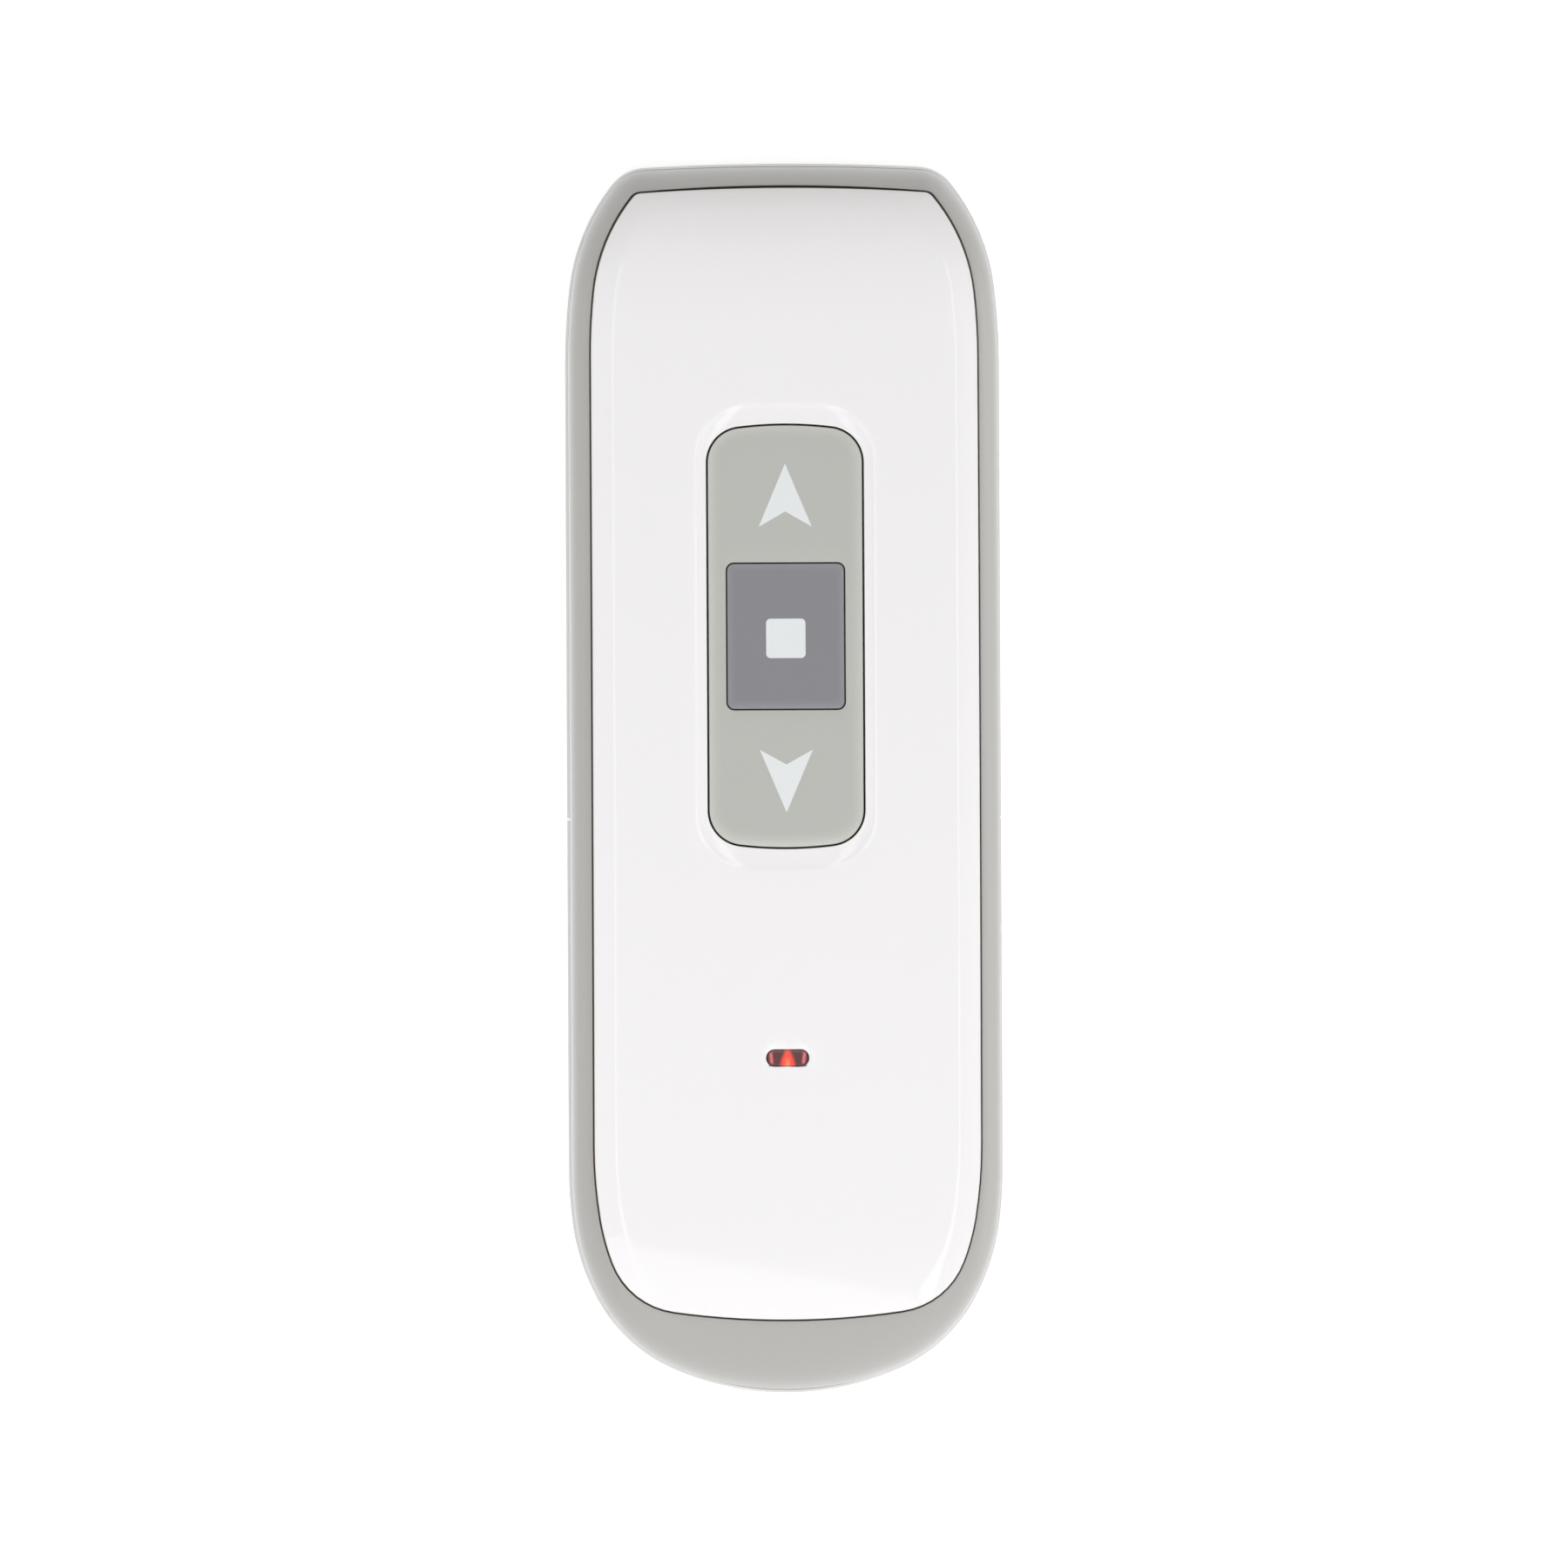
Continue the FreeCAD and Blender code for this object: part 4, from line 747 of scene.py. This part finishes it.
# The rocker key, with the stop key's window in it
keyBands = {"edge": 4, "roll": 8, "windowEdge": 3}
rocker = {"seam": 0.08, "top": -0.15, "edge": 0.12, "roll": 1.4, "rollDrop": 0.13,
          "windowSeam": 0.05, "windowEdge": 0.08, "skin": 1.6, "depth": 2.6, "skirt": 1.2,
          "cavityCorner": 0.5, "topBands": 8}


def rolledEdge(key, outline):
    # Rings up a key's side, round its edge and over the soft roll that runs along it, with
    #     # painted shade down the side and a painted highlight on the edge that fades over the roll
    rings = []
    for inset, drop in filletSteps(key["edge"], keyBands["edge"]):
        rings.append(onCrown(outline(-key["seam"] - inset), key["top"] + key["rollDrop"] + drop,
                             1.0 - 2.0 * drop / key["edge"]))
    for step in range(1, keyBands["roll"] + 1):
        share = step / keyBands["roll"]
        left = (1.0 - share) ** 2
        inset = key["edge"] + key["roll"] * share
        rings.append(onCrown(outline(-key["seam"] - inset), key["top"] + key["rollDrop"] * left,
                             left))
    return rings


def makeRockerKey():
    top = rocker["top"]
    seam = rocker["seam"]
    bottom = top + rocker["depth"]
    # The foot of the key's side carries full painted shade
    rings = [onCrown(padRing(-seam), bottom, -1.0)]
    rings += rolledEdge(rocker, padRing)
    outer = padRing(-seam - rocker["edge"] - rocker["roll"])
    window = rocker["windowSeam"]
    inner = stopRing(window + rocker["windowEdge"])
    bands = rocker["topBands"]
    for step in range(1, bands + 1):
        rings.append(onCrown(mixRings(outer, inner, step / bands), top))
    # The window's rounded edge and wall carry painted shade, full at the bottom of the wall
    for inset, drop in filletSteps(rocker["windowEdge"], keyBands["windowEdge"])[::-1][1:]:
        rings.append(onCrown(stopRing(window + inset), top + drop, -drop / rocker["windowEdge"]))
    wall = seam + rocker["skirt"]
    cavity = slabRing(pad["width"] - 2 * wall, pad["length"] - 2 * wall, rocker["cavityCorner"],
                      0.0, pad["centre"])
    rings += [onCrown(stopRing(window), top + rocker["skin"], -1.0),
              onCrown(cavity, top + rocker["skin"]), onCrown(cavity, bottom)]
    return loftPiece("rockerKey", rings)


dress(makeRockerKey(), "keyGrey", "rocker", "rocker_key")
print("rocker done")


# The stop key
stopKey = {"seam": 0.06, "top": -0.15, "edge": 0.1, "roll": 0.9, "rollDrop": 0.06, "depth": 2.4,
           "skin": 1.6, "skirt": 1.1, "topBands": 6}


def makeStopKey():
    top = stopKey["top"]
    seam = stopKey["seam"]
    bottom = top + stopKey["depth"]
    hollow = stopRing(-seam - stopKey["skirt"])
    # The foot of the key's side carries full painted shade
    rings = [onCrown(hollow, top + stopKey["skin"]), onCrown(hollow, bottom),
             onCrown(stopRing(-seam), bottom, -1.0)]
    rings += rolledEdge(stopKey, stopRing)
    outer = stopRing(-seam - stopKey["edge"] - stopKey["roll"])
    centre = [(0.0, pad["centre"])] * len(outer)
    bands = stopKey["topBands"]
    for step in range(1, bands):
        rings.append(onCrown(mixRings(outer, centre, step / bands), top))
    return loftPiece("stopKey", rings, ends="filled")


dress(makeStopKey(), "keyDark", "stop", "stop_key")
print("stop key done")


# The signs printed on the keys
signs = {"thickness": 0.02, "sink": -0.15,
         "up": ((0.0, 31.11), (-2.63, 24.86), (0.0, 26.37), (2.63, 24.86)),
         "down": ((0.0, -3.39), (2.63, 2.82), (0.0, 1.35), (-2.63, 2.82)),
         "square": {"side": 3.9, "corner": 0.45, "centre": 13.82}}


def makeSign(name, points):
    low = onCrown(points, signs["sink"])
    high = onCrown(points, signs["sink"] - signs["thickness"])
    return loftPiece(name, [low, high], ends="filled")


square = signs["square"]
squareRing = slabRing(square["side"], square["side"], square["corner"], 0.0, square["centre"])
dress(makeSign("upSign", signs["up"]), "printWhite", body="rocker")
dress(makeSign("downSign", signs["down"]), "printWhite", body="rocker")
dress(makeSign("stopSign", squareRing), "printWhite", body="stop")
print("signs done")


# The red light window. Places in its look are in millimetres from its centre, and each pair is
# where a soft step from nothing to full starts and ends.
lensLook = {"dark": tint(82, 18, 23), "deep": tint(66, 12, 18), "edge": tint(98, 69, 61),
            "glow": tint(224, 58, 42), "hot": tint(238, 116, 60), "pale": tint(214, 76, 68),
            "paintedGlint": tint(203, 87, 89), "cloudScale": 2400.0, "emission": 0.24, "roughness": 0.08,
            "bell": {"halfWidth": 0.5, "flare": 0.34, "bow": 0.16, "step": (-0.26, 0.17),
                     "palest": (0.2, 0.75)},
            "heat": {"halfWidth": 0.4, "across": (0.0, 0.35), "down": (-0.3, 0.6)},
            "streak": {"place": 1.6, "lean": 0.12, "halfWidth": 0.24, "across": (0.0, 0.2),
                       "halfHeight": 0.68, "along": (0.0, 0.35)},
            "upperEdge": (0.45, 0.8)}


def lensMaterial():
    # A dark red window with a painted glow of the light under it, a bell in the middle, and painted
    #     # glints of caught light near both ends
    look = lensLook
    material, tree, shader = newMaterial("redLens")
    place = addNode(tree, "ShaderNodeTexCoord").outputs["Object"]
    split = addNode(tree, "ShaderNodeSeparateXYZ")
    joinNodes(tree, (place, split.inputs["Vector"]))
    x, y = (mathNode(tree, "MULTIPLY", split.outputs[axis], 1.0 / mm) for axis in "XY")
    x = mathNode(tree, "ABSOLUTE", x)
    y = mathNode(tree, "SUBTRACT", y, lens["centre"])

    def ramp(value, step):
        node = addNode(tree, "ShaderNodeMapRange", interpolation_type="SMOOTHSTEP")
        setInputs(node, {"From Min": step[0], "From Max": step[1]})
        joinNodes(tree, (value, node.inputs["Value"]))
        return node.outputs["Result"]

    def blend(factor, first, second):
        node = addNode(tree, "ShaderNodeMix", data_type="RGBA")
        for name, value in (("factor", factor), ("first", first), ("second", second)):
            socket = node.inputs[mixSocket[name]]
            if isinstance(value, tuple):
                socket.default_value = value
            else:
                tree.links.new(value, socket)
        return node.outputs[mixSocket["result"]]

    # The painted glow of the light under the window: a bell that widens downwards, hottest low in
    #     # its middle and palest at its top
    shape = look["bell"]
    bow = mathNode(tree, "MULTIPLY", mathNode(tree, "MULTIPLY", y, y), shape["bow"])
    flare = mathNode(tree, "MULTIPLY", y, shape["flare"])
    straight = mathNode(tree, "SUBTRACT", shape["halfWidth"], flare)
    halfWide = mathNode(tree, "SUBTRACT", straight, bow)
    bell = ramp(mathNode(tree, "SUBTRACT", halfWide, x), shape["step"])
    low = mathNode(tree, "MULTIPLY", y, -1.0)
    across = ramp(mathNode(tree, "SUBTRACT", look["heat"]["halfWidth"], x), look["heat"]["across"])
    heat = mathNode(tree, "MULTIPLY", ramp(low, look["heat"]["down"]), across)
    lit = blend(heat, blend(ramp(y, shape["palest"]), look["glow"], look["pale"]), look["hot"])

    # Painted glints: streaks of caught light stand near both ends and lean a little
    shape = look["streak"]
    line = mathNode(tree, "ADD", shape["place"], mathNode(tree, "MULTIPLY", y, shape["lean"]))
    off = mathNode(tree, "ABSOLUTE", mathNode(tree, "SUBTRACT", x, line))
    height = mathNode(tree, "ABSOLUTE", y)
    streak = mathNode(tree, "MULTIPLY",
                      ramp(mathNode(tree, "SUBTRACT", shape["halfWidth"], off), shape["across"]),
                      ramp(mathNode(tree, "SUBTRACT", shape["halfHeight"], height), shape["along"]))
    cloud = addNode(tree, "ShaderNodeTexNoise")
    cloud.inputs["Scale"].default_value = look["cloudScale"]
    joinNodes(tree, (place, cloud.inputs["Vector"]))
    color = blend(cloud.outputs["Fac"], look["deep"], look["dark"])
    color = blend(ramp(y, look["upperEdge"]), color, look["edge"])
    color = blend(streak, color, look["paintedGlint"])
    color = blend(bell, color, lit)
    # The painted colour also glows by emission, though the window is no lamp
    joinNodes(tree, (color, shader.inputs["Base Color"]), (color, shader.inputs["Emission Color"]))
    setInputs(shader, {"Emission Strength": look["emission"], "Roughness": look["roughness"]})
    return material


def makeLens():
    top = lens["top"]
    outer = slabRing(lens["length"], lens["width"], lens["corner"], 0.0, lens["centre"])
    rings = [onCrown(outer, top + lens["depth"])]
    for inset, drop in filletSteps(lens["edge"], lens["edgeSteps"]):
        ring = slabRing(lens["length"] - 2 * inset, lens["width"] - 2 * inset,
                        lens["corner"] - inset, 0.0, lens["centre"])
        rings.append(onCrown(ring, top + drop))
    ridge = [(x * lens["ridge"], lens["centre"]) for x, y in ring]
    bands = lens["topBands"]
    for step in range(1, bands):
        rings.append(onCrown(mixRings(ring, ridge, step / bands), top))
    return loftPiece("lightWindow", rings, ends="filled")


materials["redLens"] = lensMaterial()
dress(makeLens(), "redLens", "housing", "led_lens")
print("window done")


# The white back and its battery door
back = {"rearCover": {"node": "rear_cover", "body": "housing", "angle": 38.0},
        "batteryDoor": {"node": "battery_door", "body": "door", "angle": 30.0}}
for name, half in back.items():
    piece = smoothCopy(half["node"], name, half["angle"])
    dress(piece, "whiteBack", half["body"], half["node"])
print("back done")


# Floor, light and camera. The floor's lift is what the camera sees of its own glow, and its shine
# what gloss sees of it. The camera looks at its target from so many metres, tilted and rolled by
# some degrees, and sees so many millimetres across.
stage = {"floor": 3.0, "floorDrop": 0.05, "floorColor": (0.86, 0.86, 0.86, 1.0),
         "floorRoughness": 0.9, "floorLift": 0.45, "floorShine": 0.12, "ambient": 0.33,
         "distance": 3.0, "tilt": 1.4, "roll": 0.27, "width": 155.3, "sensor": 36.0,
         "target": (-0.12, -0.58, 10.0), "clip": (0.01, 20.0)}


# Soft boxes: one overhead, four round the object, one low in front, and three that only show as
# reflections along the faceplate. Places and sizes are in metres.
panels = {
    "topPanel": {"place": (0.0, 0.0, 1.5), "target": (0.0, 0.0, 0.0), "size": (2.0, 2.0),
                 "power": 7.1},
    "frontPanel": {"place": (0.0, -1.0, 0.75), "target": (0.0, 0.0, 0.0), "size": (2.0, 0.9),
                   "power": 7.0},
    "backPanel": {"place": (0.0, 1.0, 0.75), "target": (0.0, 0.0, 0.0), "size": (2.0, 0.9),
                  "power": 2.0},
    "leftPanel": {"place": (-0.98, 0.0, 0.07), "target": (0.0, 0.0, 0.01), "size": (1.0, 0.12),
                  "power": 1.2},
    "rightPanel": {"place": (0.98, 0.0, 0.07), "target": (0.0, 0.0, 0.01), "size": (1.0, 0.12),
                   "power": 2.8},
    "leftStrip": {"place": (-0.037, 0.0, 0.5), "target": (-0.037, 0.0, 0.0), "size": (0.05, 0.6),
                  "power": 0.15},
    "rightStrip": {"place": (0.06, 0.0, 0.5), "target": (0.06, 0.0, 0.0), "size": (0.05, 0.6),
                   "power": 0.17},
    "softBox": {"place": (-0.115, -0.327, 0.5), "target": (-0.115, -0.327, 0.0),
                "size": (0.3, 0.33), "power": 0.34, "twist": 14.6},
    "lowPanel": {"place": (0.0, -0.98, 0.07), "target": (0.0, 0.0, 0.01), "size": (1.0, 0.12),
                 "power": 0.65},
}


def seenShare(tree, camera, shine):
    # One strength for the camera's rays, one for those off gloss and glass, none for the rest
    path = addNode(tree, "ShaderNodeLightPath")
    mirrored = mathNode(tree, "ADD", path.outputs["Is Glossy Ray"],
                        path.outputs["Is Transmission Ray"])
    return mathNode(tree, "ADD", mathNode(tree, "MULTIPLY", path.outputs["Is Camera Ray"], camera),
                    mathNode(tree, "MULTIPLY", mirrored, shine))


def makeFloor():
    bpy.ops.object.select_all(action="DESELECT")
    place = (0.0, 0.0, -stage["floorDrop"] * mm)
    bpy.ops.mesh.primitive_plane_add(size=stage["floor"], location=place)
    floor = bpy.context.object
    floor.name = "floor"
    material, tree, shader = newMaterial("paleFloor")
    setInputs(shader, {"Base Color": stage["floorColor"], "Roughness": stage["floorRoughness"],
                       "Specular IOR Level": 0.0, "Emission Color": (1.0, 1.0, 1.0, 1.0)})
    lift = seenShare(tree, stage["floorLift"], stage["floorShine"])
    joinNodes(tree, (lift, shader.inputs["Emission Strength"]))
    floor.data.materials.append(material)


def makeWorld():
    world = bpy.data.worlds.new("studio")
    bpy.context.scene.world = world
    world.use_nodes = True
    tree = world.node_tree
    background = tree.nodes["Background"]
    background.inputs["Color"].default_value = (1.0, 1.0, 1.0, 1.0)
    spare = seenShare(tree, 1.0 - stage["ambient"], 1.0 - stage["ambient"])
    joinNodes(tree, (mathNode(tree, "ADD", spare, stage["ambient"]), background.inputs["Strength"]))


def addPanel(name, place, target, size, power, twist=0.0):
    # A soft box that faces a target, twisted about its own axis
    light = bpy.data.lights.new(name, "AREA")
    light.shape = "RECTANGLE"
    light.size, light.size_y = size
    light.energy = power
    lamp = bpy.data.objects.new(name, light)
    bpy.context.scene.collection.objects.link(lamp)
    lamp.location = place
    lamp.rotation_euler = (Vector(target) - Vector(place)).to_track_quat("-Z", "Y").to_euler()
    lamp.rotation_euler.rotate_axis("Z", math.radians(twist))


def makeCamera():
    camera = bpy.data.cameras.new("camera")
    holder = bpy.data.objects.new("camera", camera)
    bpy.context.scene.collection.objects.link(holder)
    bpy.context.scene.camera = holder
    camera.sensor_width = stage["sensor"]
    camera.lens = stage["sensor"] * stage["distance"] / (stage["width"] * mm)
    tilt = math.radians(stage["tilt"])
    away = Vector((-math.sin(tilt), 0.0, math.cos(tilt)))
    target = Vector(stage["target"]) * mm
    holder.location = target + away * stage["distance"]
    holder.rotation_euler = (0.0, -tilt, 0.0)
    holder.rotation_euler.rotate_axis("Z", -math.radians(stage["roll"]))
    camera.clip_start, camera.clip_end = stage["clip"]


makeFloor()
makeWorld()
for name, panel in panels.items():
    addPanel(name, **panel)
makeCamera()

bpy.context.scene.view_settings.view_transform = "Standard"
print("stage done")
